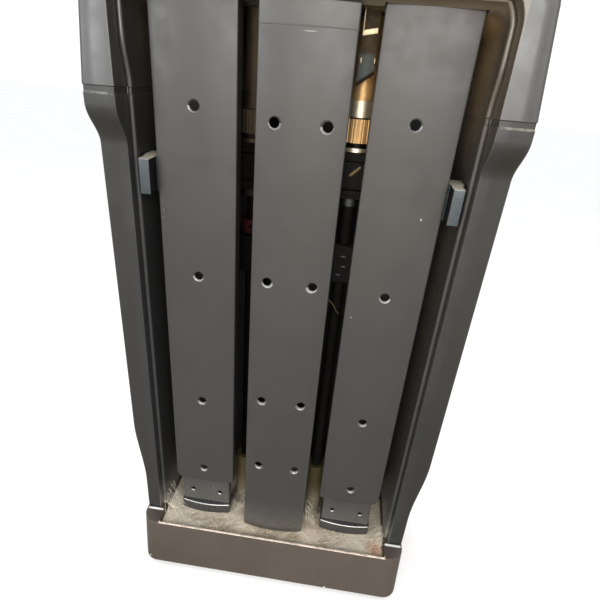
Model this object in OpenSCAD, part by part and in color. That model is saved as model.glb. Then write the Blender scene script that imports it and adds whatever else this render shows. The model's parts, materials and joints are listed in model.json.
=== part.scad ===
// Height-adjustable treble-end stand of a concert marimba.
// Millimetres, +Z up, front towards -Y, origin on the floor under the middle of the base.

/* [Base] */
// Depth of the plinth at the floor
plinth_d = 196; // [190:1:230]
// Height of the plinth above its feet
plinth_h = 92; // [80:1:120]
// Inward slope of the plinth's four sides from bottom to top
plinth_draft = 3; // [2:1:10]
// Wall of the plinth
plinth_wall = 5; // [4:0.5:7]
// Radius of the plinth's upright front corners
plinth_corner_r = 24; // [12:1:28]
// Radius of its upright back corners
plinth_back_r = 9; // [8:1:20]
// Thickness of the plinth's top rim under the cheeks
rim_t = 9; // [8:1:14]
// Width of that rim in front of the tray
rim_front = 4; // [3:0.5:9]
// Radius of the ridge in front of each cheek's foot
foot_ridge_r = 4; // [2:0.5:5]
// Width of the ledge that carries the tray
ledge_w = 8; // [6:1:12]
// Thickness of that ledge
ledge_t = 6; // [4:1:10]
// Depth of the tray floor below the plinth's top edge
tray_drop = 5; // [3:0.5:8]
// Clearance round the tray
tray_gap = 0.5; // [0.3:0.1:1]
// Thickness of the steel base plate
base_plate_t = 8; // [6:1:12]
// Height of the rubber feet
foot_h = 10; // [8:1:16]
// Diameter of the rubber feet
foot_d = 44; // [36:1:50]
// Distance of the feet from the plinth's outer edges
foot_inset = 38; // [34:1:50]

/* [Casing] */
// Height of the opening, from the tray floor to the head
opening_h = 758; // [740:1:800]
// Height of the head above the opening
head_h = 25; // [22:1:40]
// Distance of the moulding seam below the head
seam_drop = 91; // [80:1:110]
// Width of one cheek
cheek_w = 41.5; // [36:0.5:46]
// Wall of the cheeks and the head
shell_wall = 4; // [3:0.5:5]
// Setback of the bars' front from the plinth's front
sill_lead = 42; // [40:1:54]
// How far the cheeks stand in front of the bars
cheek_lead = 11; // [8:1:16]
// Extra forward step of the shoulders
shoulder_step = 18; // [10:1:22]
// Height of the S-shaped shoulder
shoulder_h = 54; // [40:1:70]
// Straight lip between the shoulder and the seam
shoulder_lip = 6; // [4:1:10]
// Extra half-width at the shoulders
shoulder_flare = 3; // [0:0.5:6]
// Narrowing of each side from the seam to the top
top_lean = 12; // [4:1:14]
// Narrowing of each side at the foot of the cheeks
ankle_in = 12; // [6:1:16]
// Height over which the cheeks narrow
ankle_h = 120; // [80:5:200]
// Height of the straight stretch below that
ankle_rise = 60; // [0:5:100]
// Width of the rounded bead along the opening
bead_w = 4.5; // [3:0.5:6]
// How far the bead stands in front of the bars
bead_lead = 2; // [0:0.5:5]
// Radius of the opening's top corners
corner_r = 18; // [10:1:19]
// Thickness of the back cover
cover_t = 6; // [4:0.5:8]
// Setback of the back cover from the plinth's top edge
cover_setback = 3; // [3:1:8]
// Height of the back cover's lowest screws above the plinth
cover_screw_low = 48; // [30:1:70]
// Height of its middle screws above the plinth
cover_screw_mid = 330; // [280:5:380]
// Distance of its next screws below the seam
cover_screw_drop = 40; // [20:1:55]
// Number of vent slots in each group of the back cover
vent_count = 7; // [4:1:9]
// Length of a vent slot
vent_l = 84; // [60:2:200]
// Height of a vent slot
vent_h = 6; // [4:0.5:8]
// Spacing of the vent slots
vent_pitch = 14; // [12:1:18]
// Distance of the vents from the plinth and from the seam
vent_margin = 70; // [40:1:120]

/* [Bars] */
// Width of an outer sleeve
sleeve_w = 96; // [90:1:110]
// Depth of an outer sleeve
sleeve_d = 28; // [26:1:32]
// Width of the middle column
column_w = 100; // [90:1:110]
// Depth of the middle column
column_d = 38; // [34:1:41]
// How far the middle column stands in front of the sleeves
column_lead = 14; // [12:1:18]
// Gap between the middle column and a sleeve
column_gap = 23; // [20:1:30]
// Wall of the sleeves and the column
bar_wall = 4; // [3:0.5:5]
// Width of the returned lips at the back of the bars
lip_w = 14; // [12:0.5:16]
// Crown of a sleeve's front
sleeve_crown = 4; // [2:0.5:6]
// Crown of the column's front
column_crown = 6; // [3:0.5:8]
// Rounding of the bars' front edges
bar_edge_r = 8; // [5:0.5:10]
// Diameter of the holes down the bars
bar_hole_d = 11.5; // [8:0.5:13]
// Depth of those holes' countersunk rims
bar_hole_sink = 1.5; // [0.5:0.1:2.5]
// Radius of the outer corner at a sleeve's lower end
sleeve_end_r = 12; // [4:1:16]
// Height of the lowest sleeve holes above the sleeve's end
sleeve_row_first = 29.5; // [20:0.5:40]
// Step to the second sleeve row
sleeve_row_short = 139; // [120:1:150]
// Step to each higher sleeve row
sleeve_row_long = 204; // [180:1:210]
// Height of the lowest column holes above the tray
column_row_first = 144.5; // [120:0.5:160]
// Step to the second column row
column_row_short = 127; // [110:1:140]
// Step to each higher column row
column_row_long = 187; // [170:1:195]
// Distance between the two columns of holes
column_hole_spacing = 58; // [40:1:64]
// Height of the column's end cap
column_cap_h = 23; // [16:1:30]

/* [Posts] */
// Height of post and foot showing under a sleeve
post_show = 78; // [70:1:90]
// Thickness of the glide pads on an inner post's sides
pad_t = 3.6; // [2.6:0.2:5]
// Depth of an inner post
post_d = 14; // [12:0.5:15]
// Wall of an inner post
post_wall = 3; // [2:0.5:4]
// Length of an inner post
post_l = 483; // [460:1:500]
// Setback of the post from the sleeve's crest
post_setback = 10; // [9.5:0.5:11]
// Height of a post's foot
shoe_h = 20; // [16:1:26]
// How far a post's foot stands out on each side of the post
shoe_side = 2; // [1:0.5:6]
// Depth of a post's foot
shoe_d = 31; // [28:1:34]
// Crown of the foot's front
shoe_crown = 5; // [3:0.5:7]
// Height of the foot's spigot inside the post
spigot_h = 34; // [30:1:50]
// Diameter of the small holes in the post
post_hole_d = 6.5; // [5:0.5:8]
// Distance between the small holes
post_hole_spacing = 47; // [40:1:54]
// Length of a glide pad
pad_l = 40; // [30:1:60]
// Spacing of the two rows of glide pads
pad_pitch = 188; // [150:1:220]

/* [Lift] */
// Travel above the photographed height
lift_up = 80; // [60:5:130]
// Travel below the photographed height
lift_down = 30; // [20:1:34]
// Diameter of a guide rod
rod_d = 16; // [12:1:18]
// Outer diameter of a lift tube
tube_d = 26; // [24:1:28]
// Wall of a lift tube
tube_wall = 3; // [2:0.5:3.5]
// Thickness of the yoke plate
yoke_t = 6; // [5:0.5:8]
// Height of the yoke
yoke_h = 54; // [46:1:64]
// Wall of the yoke's bosses
yoke_boss_wall = 6; // [5:0.5:8]
// Outer diameter of the knurled clamp nuts
nut_d = 36; // [34:1:40]
// Height of the clamp nuts
nut_h = 27; // [18:1:30]
// Height of the polished collars
collar_h = 18; // [8:1:20]
// Height of the washers under the clamp nuts
washer_h = 8; // [4:1:12]
// Flange height of the lift bushes
bush_h = 10; // [8:1:26]
// Height of the red stop collar
stop_h = 18; // [12:1:24]
// Height of the rod bracket
bracket_h = 50; // [40:1:70]
// Height of the rod sockets above the tray
socket_h = 108; // [60:1:130]
// Outer diameter of the rod sockets
socket_d = 30; // [26:1:34]
// Height of the crosshead
crosshead_h = 36; // [30:1:50]
// Spacing of the rail holes across the crosshead
rail_hole_x = 242; // [220:1:260]
// Spacing of the rail holes from front to back
rail_hole_y = 51; // [48:1:56]
// Diameter of the rail holes
rail_hole_d = 8.5; // [6.5:0.1:10.5]
// Depth of the rail holes
rail_hole_depth = 24; // [16:1:28]

/* [Gas spring] */
// Outer diameter of the cylinder
gas_d = 28; // [22:1:32]
// Wall of the cylinder
gas_wall = 2; // [1.5:0.5:3]
// Length of the cylinder
gas_l = 340; // [320:1:360]
// Diameter of the piston rod
gas_rod_d = 10; // [8:1:12]
// Height of the piston
piston_h = 12; // [8:1:16]
// Height of the gland in the cylinder's mouth
gland_h = 20; // [14:1:24]
// Distance of the gas spring behind the guide rods
gas_setback = 33; // [31:1:38]
// Height of the lower pivot above the tray
gas_pivot_h = 18; // [16:1:24]

/* [Locks] */
// Width of a lock block
lock_w = 19.5; // [16:0.5:22]
// Step on each side from the lock block's narrow head to its body
lock_side = 3.25; // [3.25:0.25:5]
// Depth of that head
lock_head_d = 18; // [14:1:22]
// Height of a lock block at its front
lock_h = 39; // [30:1:50]
// Rise of the block's top towards the back
lock_rise = 5; // [0:1:10]
// Depth of a lock block
lock_d = 46; // [42:1:50]
// Distance of the lock's middle below the head
lock_drop = 185; // [175:1:200]
// Outward travel of a lock
lock_travel = 3.5; // [2:0.5:3.5]
// Diameter of the lock pin
lock_pin_d = 8; // [6:1:10]
// Diameter of the pull knob
knob_d = 20; // [16:1:22]
// Height of the pull knob
knob_h = 8; // [6:1:9]
// Wire of the lock spring
spring_wire = 1.5; // [1:0.1:1.8]
// Turns of the lock spring
spring_turns = 5; // [4:1:6]

/* [Fasteners] */
// Diameter of the large bolts
bolt_d = 8; // [6:1:8]
// Diameter of the seam and cheek bolts
seam_bolt_d = 6; // [5:1:8]
// Diameter of the small screws
screw_d = 4; // [3:0.5:5]
// Length of the base screws above the base plate
base_screw_l = 30; // [24:1:34]
// Length of the back cover's screws inside the cheeks
cover_screw_l = 16; // [10:1:20]

/* [Clearances] */
// Radial clearance of a bolt or pin in its hole
fit_gap = 0.1; // [0.05:0.05:0.3]
// Radial running clearance of a shaft in a bush
run_gap = 0.05; // [0.02:0.01:0.08]
// Clearance between sliding faces
slide_gap = 0.4; // [0.3:0.1:0.6]
// Clearance between the sleeves and the head's slots
slot_gap = 1; // [0.6:0.1:1.5]
// Clearance left at each end of the lift's travel
stop_gap = 2; // [1:0.5:4]

/* [Hidden] */

$fn = 48;
// Overshoot of a cut past the face that it opens
eps = 1;
// Segments of the wide crown arcs
crown_fn = 360;
// Steps along the shoulder and the ankle curves
shoulder_steps = 10;
ankle_steps = 6;

// Heights
plinth_top_z = foot_h + plinth_h;
tray_z = plinth_top_z - tray_drop;
tray_t = rim_t - tray_drop;
ledge_z = plinth_top_z - rim_t;
pedestal_z = foot_h + base_plate_t;
head_z = tray_z + opening_h;
top_z = head_z + head_h;
seam_z = head_z - seam_drop;
shoulder_z1 = seam_z - shoulder_lip;
shoulder_z0 = shoulder_z1 - shoulder_h;
ankle_z0 = plinth_top_z + ankle_rise;
ankle_z1 = ankle_z0 + ankle_h;
sleeve_z0 = tray_z + post_show;
sleeve_z1 = top_z + lift_down + stop_gap;
post_z0 = tray_z + shoe_h;
post_z1 = post_z0 + post_l;
head_bush_flange = 3;
stack_top_z = head_z - head_bush_flange - lift_up - stop_gap;
collar_z = stack_top_z - collar_h;
nut_z = collar_z - nut_h;
nut_neck = 2;
washer_z = nut_z - nut_neck - washer_h;
yoke_z0 = washer_z - yoke_h;
bush_z = yoke_z0 - bush_h;
stop_z = bush_z - lift_down - slide_gap - stop_h;
bracket_z = stop_z - bracket_h - 5;
lock_z = head_z - lock_drop;
gas_pivot_z = tray_z + gas_pivot_h;
gas_z0 = gas_pivot_z + gas_d / 2;
gas_z1 = gas_z0 + gas_l;
piston_z = gas_z1 - gland_h - lift_up - piston_h - 8;

// Distances across
sleeve_x = column_w / 2 + column_gap + sleeve_w / 2;
rod_x = column_w / 2 + column_gap / 2;
lock_x0 = sleeve_x + sleeve_w / 2 + slide_gap;
lock_wall_gap = 0.6;
channel_w = slide_gap + lock_w + lock_wall_gap;
opening_half = sleeve_x + sleeve_w / 2 + channel_w;
bead_x = opening_half + bead_w;
casing_half = opening_half + cheek_w;
plinth_top_half = casing_half - ankle_in;
plinth_half = plinth_top_half + plinth_draft;
tray_half = opening_half - tray_gap - 1;
cheek_mid_x = opening_half + cheek_w / 2;
cheek_bolt_x = (opening_half + plinth_top_half) / 2;

// Depths
plinth_y = plinth_d / 2;
plinth_top_y = plinth_y - plinth_draft;
bar_y = -plinth_y + sill_lead;
column_y = bar_y - column_lead;
cheek_y = bar_y - cheek_lead;
bead_y = bar_y - bead_lead;
cover_y = plinth_top_y - cover_setback - cover_t;
tray_y0 = -plinth_top_y + rim_front;
tray_y1 = plinth_top_y - plinth_wall - ledge_w;
sleeve_back_y = bar_y + sleeve_d;
column_back_y = column_y + column_d;
post_y = bar_y + post_setback;
shoe_y = bar_y + 1;
rod_y = sleeve_back_y + yoke_t + tube_d / 2 + 2;
gas_y = rod_y + gas_setback;
lock_y0 = cheek_y + 1;
lock_pin_y = lock_y0 + lock_d - 8;
sleeve_bolt_y = bar_y + sleeve_d / 2 + 1;
crosshead_y0 = bar_y - 6;
crosshead_y1 = rod_y + tube_d / 2 + 18;
rail_hole_y0 = sleeve_bolt_y;

// Sizes that follow others
bush_hole_d = tube_d + 6;
tube_bore = tube_d - 2 * tube_wall;
boss_d = tube_d + 2 * yoke_boss_wall;
rod_top_z = head_z - 10;
head_floor_t = bead_w + shell_wall;
post_w = sleeve_w - 2 * (bar_wall + pad_t + slide_gap);
shoe_w = post_w + 2 * shoe_side;
sleeve_bolt_dx = 22;
sleeve_block_h = 40;
sleeve_pitch = [
    0, sleeve_row_short, sleeve_row_short + sleeve_row_long, sleeve_row_short + 2 * sleeve_row_long];
column_pitch = [
    0, column_row_short, column_row_short + column_row_long, column_row_short + 2 * column_row_long];
cover_boss_z = [plinth_top_z + cover_screw_low, plinth_top_z + cover_screw_mid, seam_z - cover_screw_drop];
cover_boss_top_z = (seam_z + top_z) / 2;
base_screw_x = plinth_half - foot_inset - 30;
cheek_bolt_ys = [bar_y + 20, cover_y - 34];
screw_head_d = 2.2 * screw_d;
screw_head_h = 0.7 * screw_d;
lock_collar_t = 3;
lock_guide_t = 4;
lock_collar_x = opening_half + shell_wall + lock_guide_t + 1;
cup_d = knob_d + 6;
cup_wall = 3;
cup_x = casing_half - knob_h - lock_travel - 1.5;
knob_x = cup_x + 1;

// Smooth step from 0 to 1
function ease(t) = (1 - cos(180 * max(0, min(1, t)))) / 2;
// Front of the casing at a height
function front_y(z) = cheek_y - shoulder_step * ease((z - shoulder_z0) / shoulder_h);
// Half-width of the casing at a height
function half_w(z) =
    casing_half
    - ankle_in * ease((ankle_z1 - z) / ankle_h)
    + shoulder_flare * ease((z - shoulder_z0) / shoulder_h)
    - top_lean * max(0, (z - seam_z) / (top_z - seam_z));
// Heights at which the casing's outline turns
function outline_zs() = concat(
    [for (i = [0 : ankle_steps]) ankle_z0 + ankle_h * i / ankle_steps],
    [for (i = [0 : shoulder_steps]) shoulder_z0 + shoulder_h * i / shoulder_steps],
    [seam_z, top_z]);
function levels(z_lo, z_hi) =
    concat([z_lo], [for (z = outline_zs()) if (z > z_lo && z < z_hi) z], [z_hi]);
// Radius of an arc with a given chord and height
function arc_r(chord, height) = (chord * chord / 4 + height * height) / (2 * height);
// Fall of such an arc at a distance from its crest
function arc_fall(r, x) = r - sqrt(r * r - x * x);

// Both sides from the right-hand one
module both_sides() {
    children();
    mirror([1, 0, 0]) children();
}

// Bolt with its head down at z = 0 and its shank going up
module bolt(d, length, head_d, head_h) {
    cylinder(d = head_d, h = head_h);
    cylinder(d = d, h = head_h + length);
}

// Crowned bar outline, crest at the origin, depth along +Y
module bar_outline(w, d, crown, inset) {
    r = arc_r(w, crown);
    edge = bar_edge_r - inset;
    half = w / 2 - inset;
    intersection() {
        translate([0, r]) circle(r = r - inset, $fn = crown_fn);
        union() {
            translate([-half + edge, inset]) square([2 * (half - edge), d - 2 * inset]);
            translate([-half, inset + edge]) square([2 * half, d - 2 * inset - edge]);
            for (s = [-1, 1])
                translate([s * (half - edge), inset + edge]) circle(r = edge);
        }
    }
}

// Crowned channel with returned lips, open at the back
module bar_channel(w, d, crown) {
    difference() {
        bar_outline(w, d, crown, 0);
        bar_outline(w, d, crown, bar_wall);
        translate([-w / 2 + lip_w, d - bar_wall - eps]) square([w - 2 * lip_w, bar_wall + 2 * eps]);
    }
}

// Casing form between two heights, thinned by inset at its front and its outer side
module casing_form(x_in, inset, z_lo, z_hi, back_y) {
    zs = levels(z_lo, z_hi);
    reach = plinth_d;
    intersection() {
        translate([x_in, 0, 0])
            rotate([90, 0, 90])
                linear_extrude(reach)
                    polygon(concat([for (z = zs) [front_y(z) + inset, z]], [[back_y, z_hi], [back_y, z_lo]]));
        translate([0, back_y, 0])
            rotate([90, 0, 0])
                linear_extrude(2 * reach)
                    polygon(concat([for (z = zs) [half_w(z) - inset, z]], [[x_in, z_hi], [x_in, z_lo]]));
    }
}

// Right-hand cheek between two heights: flange, inner wall and bead round a hollow open to the back
module cheek(z_lo, z_hi, floor_t, roof_t) {
    nose_y = bead_y + bead_w / 2;
    difference() {
        union() {
            casing_form(bead_x, 0, z_lo, z_hi, cover_y);
            translate([opening_half, nose_y, z_lo]) cube([bead_w + eps, cover_y - nose_y, z_hi - z_lo]);
            translate([opening_half + bead_w / 2, nose_y, z_lo]) cylinder(d = bead_w, h = z_hi - z_lo);
        }
        casing_form(bead_x + shell_wall, shell_wall, z_lo + floor_t, z_hi - roof_t, cover_y + eps);
        translate([opening_half + shell_wall, bead_y + bead_w + shell_wall, z_lo + floor_t])
            cube([bead_w + eps, plinth_d, z_hi - roof_t - z_lo - floor_t]);
    }
}

// Boss for a back cover screw, tied to the cheek's outer wall
module cover_boss(z) {
    boss_l = 24;
    difference() {
        union() {
            translate([cheek_mid_x, cover_y, z]) rotate([90, 0, 0]) cylinder(d = 11, h = boss_l);
            translate([cheek_mid_x, cover_y - boss_l, z - 2])
                cube([half_w(z) - shell_wall / 2 - cheek_mid_x, boss_l, 4]);
        }
        translate([cheek_mid_x, cover_y + eps, z])
            rotate([90, 0, 0])
                cylinder(d = screw_d + 2 * fit_gap, h = boss_l);
    }
}

// Vertical clearance holes at the bolts that join a cheek to its neighbour
module cheek_bolt_holes(x, z) {
    for (y = cheek_bolt_ys)
        translate([x, y, z]) cylinder(d = seam_bolt_d + 4 * fit_gap, h = 40, center = true);
}

module right_cheek() {
    difference() {
        union() {
            cheek(plinth_top_z, seam_z, shell_wall, shell_wall);
            for (z = cover_boss_z) cover_boss(z);
            lock_guide();
            translate([cup_x - cup_wall, lock_pin_y, lock_z])
                rotate([0, 90, 0])
                    cylinder(d = cup_d + 2 * cup_wall, h = casing_half - cup_x + cup_wall - eps);
        }
        translate([cup_x, lock_pin_y, lock_z])
            rotate([0, 90, 0])
                cylinder(d = cup_d, h = casing_half - cup_x + eps);
        cheek_bolt_holes(cheek_bolt_x, plinth_top_z);
        cheek_bolt_holes(cheek_mid_x, seam_z);
        translate([opening_half - eps, lock_pin_y, lock_z])
            rotate([0, 90, 0])
                cylinder(d = lock_pin_d + 2 * fit_gap, h = cheek_w + 2 * eps);
        lock_window();
    }
}

// Wall behind the window, which guides the lock pin
module lock_guide() {
    margin = 10;
    translate([opening_half + shell_wall - 1, bar_y + 2, lock_z - lock_h / 2 - margin])
        cube([lock_guide_t + 1, lock_d - margin + 6, lock_h + lock_rise + 2 * margin]);
}

// Window in the cheek's inner wall that the lock block's body draws back into
module lock_window() {
    margin = 1;
    depth = lock_travel + 0.6;
    translate([opening_half - eps, lock_y0 + lock_head_d - margin, lock_z - lock_h / 2 - margin])
        cube([depth + eps, lock_d - lock_head_d + 2 * margin, lock_h + lock_rise + 2 * margin]);
}

module left_lower_cheek() {
    color("#4a4c4f") mirror([1, 0, 0]) right_cheek();
}

module right_lower_cheek() {
    color("#4a4c4f") right_cheek();
}

// Concave fillet in a top corner of the opening
module corner_fillet() {
    depth = 12;
    translate([opening_half - corner_r, bead_y + bead_w / 2 + depth, head_z - corner_r])
        rotate([90, 0, 0])
            linear_extrude(depth)
                difference() {
                    square(corner_r + bead_w / 2);
                    circle(r = corner_r);
                }
}

module upper_shell() {
    nose_y = bead_y + bead_w / 2;
    head_hollow = 2 * (opening_half - shell_wall);
    color("#505255")
        difference() {
            union() {
                both_sides() {
                    cheek(seam_z, top_z, shell_wall, shell_wall);
                    cover_boss(cover_boss_top_z);
                    corner_fillet();
                }
                difference() {
                    union() {
                        translate([-bead_x, front_y(top_z), head_z + bead_w])
                            cube([2 * bead_x, cover_y - front_y(top_z), head_h - bead_w]);
                        translate([-opening_half, nose_y, head_z])
                            cube([2 * opening_half, cover_y - nose_y, bead_w + eps]);
                        translate([-opening_half, nose_y, head_z + bead_w / 2])
                            rotate([0, 90, 0])
                                cylinder(d = bead_w, h = 2 * opening_half);
                    }
                    translate([-head_hollow / 2, front_y(top_z) + shell_wall, head_z + head_floor_t])
                        cube([head_hollow, plinth_d, head_h - head_floor_t - shell_wall]);
                }
            }
            both_sides() {
                translate([sleeve_x - sleeve_w / 2 - slot_gap, bar_y - slot_gap, head_z - eps])
                    cube([sleeve_w + 2 * slot_gap, sleeve_d + 2 * slot_gap, head_h + 2 * eps]);
                translate([rod_x, rod_y, head_z - eps])
                    cylinder(d = bush_hole_d + 2 * fit_gap, h = head_h + 2 * eps);
                cheek_bolt_holes(cheek_mid_x, seam_z);
            }
        }
}

module seam_bolts() {
    clamp = 2 * shell_wall;
    head_h = seam_bolt_d;
    color("silver")
        both_sides()
            for (y = cheek_bolt_ys)
                translate([cheek_mid_x, y, seam_z - shell_wall - head_h]) {
                    bolt(seam_bolt_d, clamp, 1.7 * seam_bolt_d, head_h);
                    translate([0, 0, head_h + clamp]) cylinder(d = 1.7 * seam_bolt_d, h = head_h);
                }
}

module cheek_bolts() {
    clamp = rim_t + ledge_t + shell_wall;
    head_h = 0.9 * seam_bolt_d;
    color("silver")
        both_sides()
            for (y = cheek_bolt_ys)
                translate([cheek_bolt_x, y, ledge_z - ledge_t - head_h]) {
                    bolt(seam_bolt_d, clamp, 1.6 * seam_bolt_d, head_h);
                    translate([0, 0, head_h + clamp]) cylinder(d = 1.6 * seam_bolt_d, h = head_h);
                }
}

// Plinth form, sloping in on all four sides
module plinth_form(inset, z_lo, z_hi) {
    slope = plinth_draft / plinth_h;
    lo = slope * (z_lo - foot_h) + inset;
    hi = slope * (z_hi - foot_h) + inset;
    intersection() {
        rotate([90, 0, 0])
            linear_extrude(2 * plinth_d, center = true)
                polygon([
                    [-plinth_half + lo, z_lo], [plinth_half - lo, z_lo],
                    [plinth_half - hi, z_hi], [-plinth_half + hi, z_hi]]);
        rotate([90, 0, 90])
            linear_extrude(4 * plinth_half, center = true)
                polygon([
                    [-plinth_y + lo, z_lo], [plinth_y - lo, z_lo],
                    [plinth_y - hi, z_hi], [-plinth_y + hi, z_hi]]);
    }
}

// Places of the base plate's screws, inboard of the feet
module at_base_screws() {
    for (sx = [-1, 1], sy = [-1, 1])
        translate([sx * base_screw_x, sy * (plinth_top_y - plinth_wall - 10), 0]) children();
}

// Plinth's outline at the floor with its rounded corners, thinned by inset
module plinth_outline(inset) {
    front_r = plinth_corner_r - inset;
    back_r = plinth_back_r - inset;
    half_x = plinth_half - inset;
    half_y = plinth_y - inset;
    translate([-half_x, -half_y + front_r]) square([2 * half_x, 2 * half_y - front_r - back_r]);
    translate([-half_x + front_r, -half_y]) square([2 * (half_x - front_r), half_y]);
    translate([-half_x + back_r, 0]) square([2 * (half_x - back_r), half_y]);
    for (s = [-1, 1]) {
        translate([s * (half_x - front_r), -half_y + front_r]) circle(r = front_r);
        translate([s * (half_x - back_r), half_y - back_r]) circle(r = back_r);
    }
}

module base_plinth() {
    boss_z = pedestal_z;
    color("#47464a")
        difference() {
            union() {
                difference() {
                    intersection() {
                        plinth_form(0, foot_h, plinth_top_z);
                        linear_extrude(plinth_top_z + eps) plinth_outline(0);
                    }
                    intersection() {
                        plinth_form(plinth_wall, foot_h - eps, ledge_z - ledge_t);
                        linear_extrude(plinth_top_z) plinth_outline(plinth_wall);
                    }
                    translate([-tray_half - tray_gap, tray_y0 - tray_gap, ledge_z])
                        cube([2 * (tray_half + tray_gap), tray_y1 - tray_y0 + 2 * tray_gap, rim_t + eps]);
                    translate([-tray_half + ledge_w, tray_y0 + ledge_w, ledge_z - ledge_t - eps])
                        cube([
                            2 * (tray_half - ledge_w), tray_y1 - tray_y0 - 2 * ledge_w,
                            ledge_t + 2 * eps]);
                }
                at_base_screws()
                    translate([0, 0, boss_z]) cylinder(d = 18, h = ledge_z - boss_z);
                both_sides()
                    translate([opening_half, cheek_y - foot_ridge_r - slide_gap, plinth_top_z])
                        rotate([0, 90, 0])
                            cylinder(r = foot_ridge_r, h = plinth_top_half - opening_half - 2);
            }
            both_sides() cheek_bolt_holes(cheek_bolt_x, plinth_top_z);
            both_sides() at_tray_screws()
                translate([0, 0, -ledge_t - eps]) cylinder(d = screw_d + 2 * fit_gap, h = rim_t + ledge_t);
            at_base_screws()
                translate([0, 0, boss_z - eps])
                    cylinder(d = bolt_d + 2 * fit_gap, h = base_screw_l + 2 + eps);
        }
}

module base_plate() {
    side = 0.3;
    edge = plinth_wall + plinth_draft * base_plate_t / plinth_h + side;
    color("#3a3a3c")
        difference() {
            translate([0, 0, foot_h]) linear_extrude(base_plate_t) plinth_outline(edge);
            translate([0, 0, foot_h - eps]) {
                at_base_screws() cylinder(d = bolt_d + 2 * fit_gap, h = base_plate_t + 2 * eps);
                at_feet() cylinder(d = bolt_d + 2 * fit_gap, h = base_plate_t + 2 * eps);
            }
        }
}

module base_plate_screws() {
    head_h = 4;
    color("silver")
        at_base_screws()
            translate([0, 0, foot_h - head_h])
                bolt(bolt_d, base_plate_t + base_screw_l, 1.6 * bolt_d, head_h);
}

module at_feet() {
    for (sx = [-1, 1], sy = [-1, 1])
        translate([sx * (plinth_half - foot_inset), sy * (plinth_y - foot_inset), 0]) children();
}

module rubber_feet() {
    rim = 3;
    color("#1c1c1d")
        at_feet() {
            cylinder(d1 = foot_d - 2 * rim, d2 = foot_d, h = rim);
            translate([0, 0, rim]) cylinder(d = foot_d, h = foot_h - rim);
            cylinder(d = bolt_d, h = foot_h + base_plate_t);
        }
}

// Steel box open at the bottom
module pedestal(x0, y0, w, d) {
    wall = 4;
    height = ledge_z - pedestal_z;
    translate([x0, y0, pedestal_z])
        difference() {
            cube([w, d, height]);
            translate([wall, wall, -eps]) cube([w - 2 * wall, d - 2 * wall, height - wall + eps]);
        }
}

module pedestals() {
    side = 6;
    color("#55565a")
        difference() {
            union() {
                both_sides()
                    pedestal(sleeve_x - shoe_w / 2 - side, shoe_y - 2, shoe_w + 2 * side, shoe_d + 2 * side);
                pedestal(-column_w / 2 + side, column_y + 2, column_w - 2 * side, gas_y + gas_d - column_y);
            }
            both_sides() at_foot_bolts()
                translate([0, 0, ledge_z]) cylinder(d = bolt_d + 2 * fit_gap, h = 20, center = true);
        }
}

module floor_tray() {
    color("#8a7a62")
        difference() {
            translate([-tray_half, tray_y0, ledge_z]) cube([2 * tray_half, tray_y1 - tray_y0, tray_t]);
            both_sides() at_foot_bolts()
                translate([0, 0, ledge_z - eps]) cylinder(d = bolt_d + 2 * fit_gap, h = tray_t + 2 * eps);
            both_sides() at_tray_screws()
                translate([0, 0, -eps]) cylinder(d = screw_d + 2 * fit_gap, h = tray_t + 2 * eps);
        }
}

module at_tray_screws() {
    for (y = [gas_y + 5, tray_y1 - 14])
        translate([tray_half - ledge_w / 2, y, ledge_z]) children();
}

module tray_screws() {
    color("silver")
        both_sides() at_tray_screws()
            translate([0, 0, tray_t + screw_head_h])
                rotate([180, 0, 0])
                    bolt(screw_d, tray_t + ledge_t - 1, screw_head_d, screw_head_h);
}

module back_cover() {
    zs = levels(plinth_top_z, top_z);
    vents_l = vent_pitch * (vent_count - 1);
    color("#3b3c3e")
        difference() {
            translate([0, cover_y + cover_t, 0])
                rotate([90, 0, 0])
                    linear_extrude(cover_t)
                        polygon(concat(
                            [for (z = zs) [half_w(z), z]],
                            [for (i = [len(zs) - 1 : -1 : 0]) [-half_w(zs[i]), zs[i]]]));
            for (z0 = [plinth_top_z + vent_margin, seam_z - vents_l - vent_margin], i = [0 : vent_count - 1])
                translate([-vent_l / 2, cover_y - eps, z0 + i * vent_pitch])
                    cube([vent_l, cover_t + 2 * eps, vent_h]);
            at_cover_screws()
                rotate([90, 0, 0])
                    cylinder(d = screw_d + 2 * fit_gap, h = 3 * cover_t, center = true);
        }
}

module at_cover_screws() {
    both_sides()
        for (z = concat(cover_boss_z, [cover_boss_top_z]))
            translate([cheek_mid_x, cover_y + cover_t, z]) children();
}

module back_cover_screws() {
    color("#222224")
        at_cover_screws()
            translate([0, screw_head_h, 0])
                rotate([90, 0, 0])
                    bolt(screw_d, cover_t + cover_screw_l, screw_head_d, screw_head_h);
}

// Countersunk hole into a bar's front, its mouth at the origin
module bar_hole(depth) {
    lead = 3;
    rotate([-90, 0, 0])
        translate([0, 0, -lead]) {
            cylinder(d = bar_hole_d, h = depth + lead);
            cylinder(d1 = bar_hole_d + 2 * (bar_hole_sink + lead), d2 = bar_hole_d, h = bar_hole_sink + lead);
        }
}

module centre_column() {
    fall = arc_fall(arc_r(column_w, column_crown), column_hole_spacing / 2);
    color("#5c5c5b")
        difference() {
            translate([0, column_y, tray_z])
                linear_extrude(head_z - column_cap_h - tray_z)
                    bar_channel(column_w, column_d, column_crown);
            for (p = column_pitch, s = [-1, 1])
                translate([s * column_hole_spacing / 2, column_y + fall, tray_z + column_row_first + p])
                    bar_hole(column_d / 2);
            at_column_screws()
                rotate([90, 0, 0]) cylinder(d = screw_d + 2 * fit_gap, h = 3 * bar_wall, center = true);
            at_bracket_screws()
                rotate([90, 0, 0]) cylinder(d = screw_d + 2 * fit_gap, h = 3 * bar_wall, center = true);
        }
}

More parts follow.
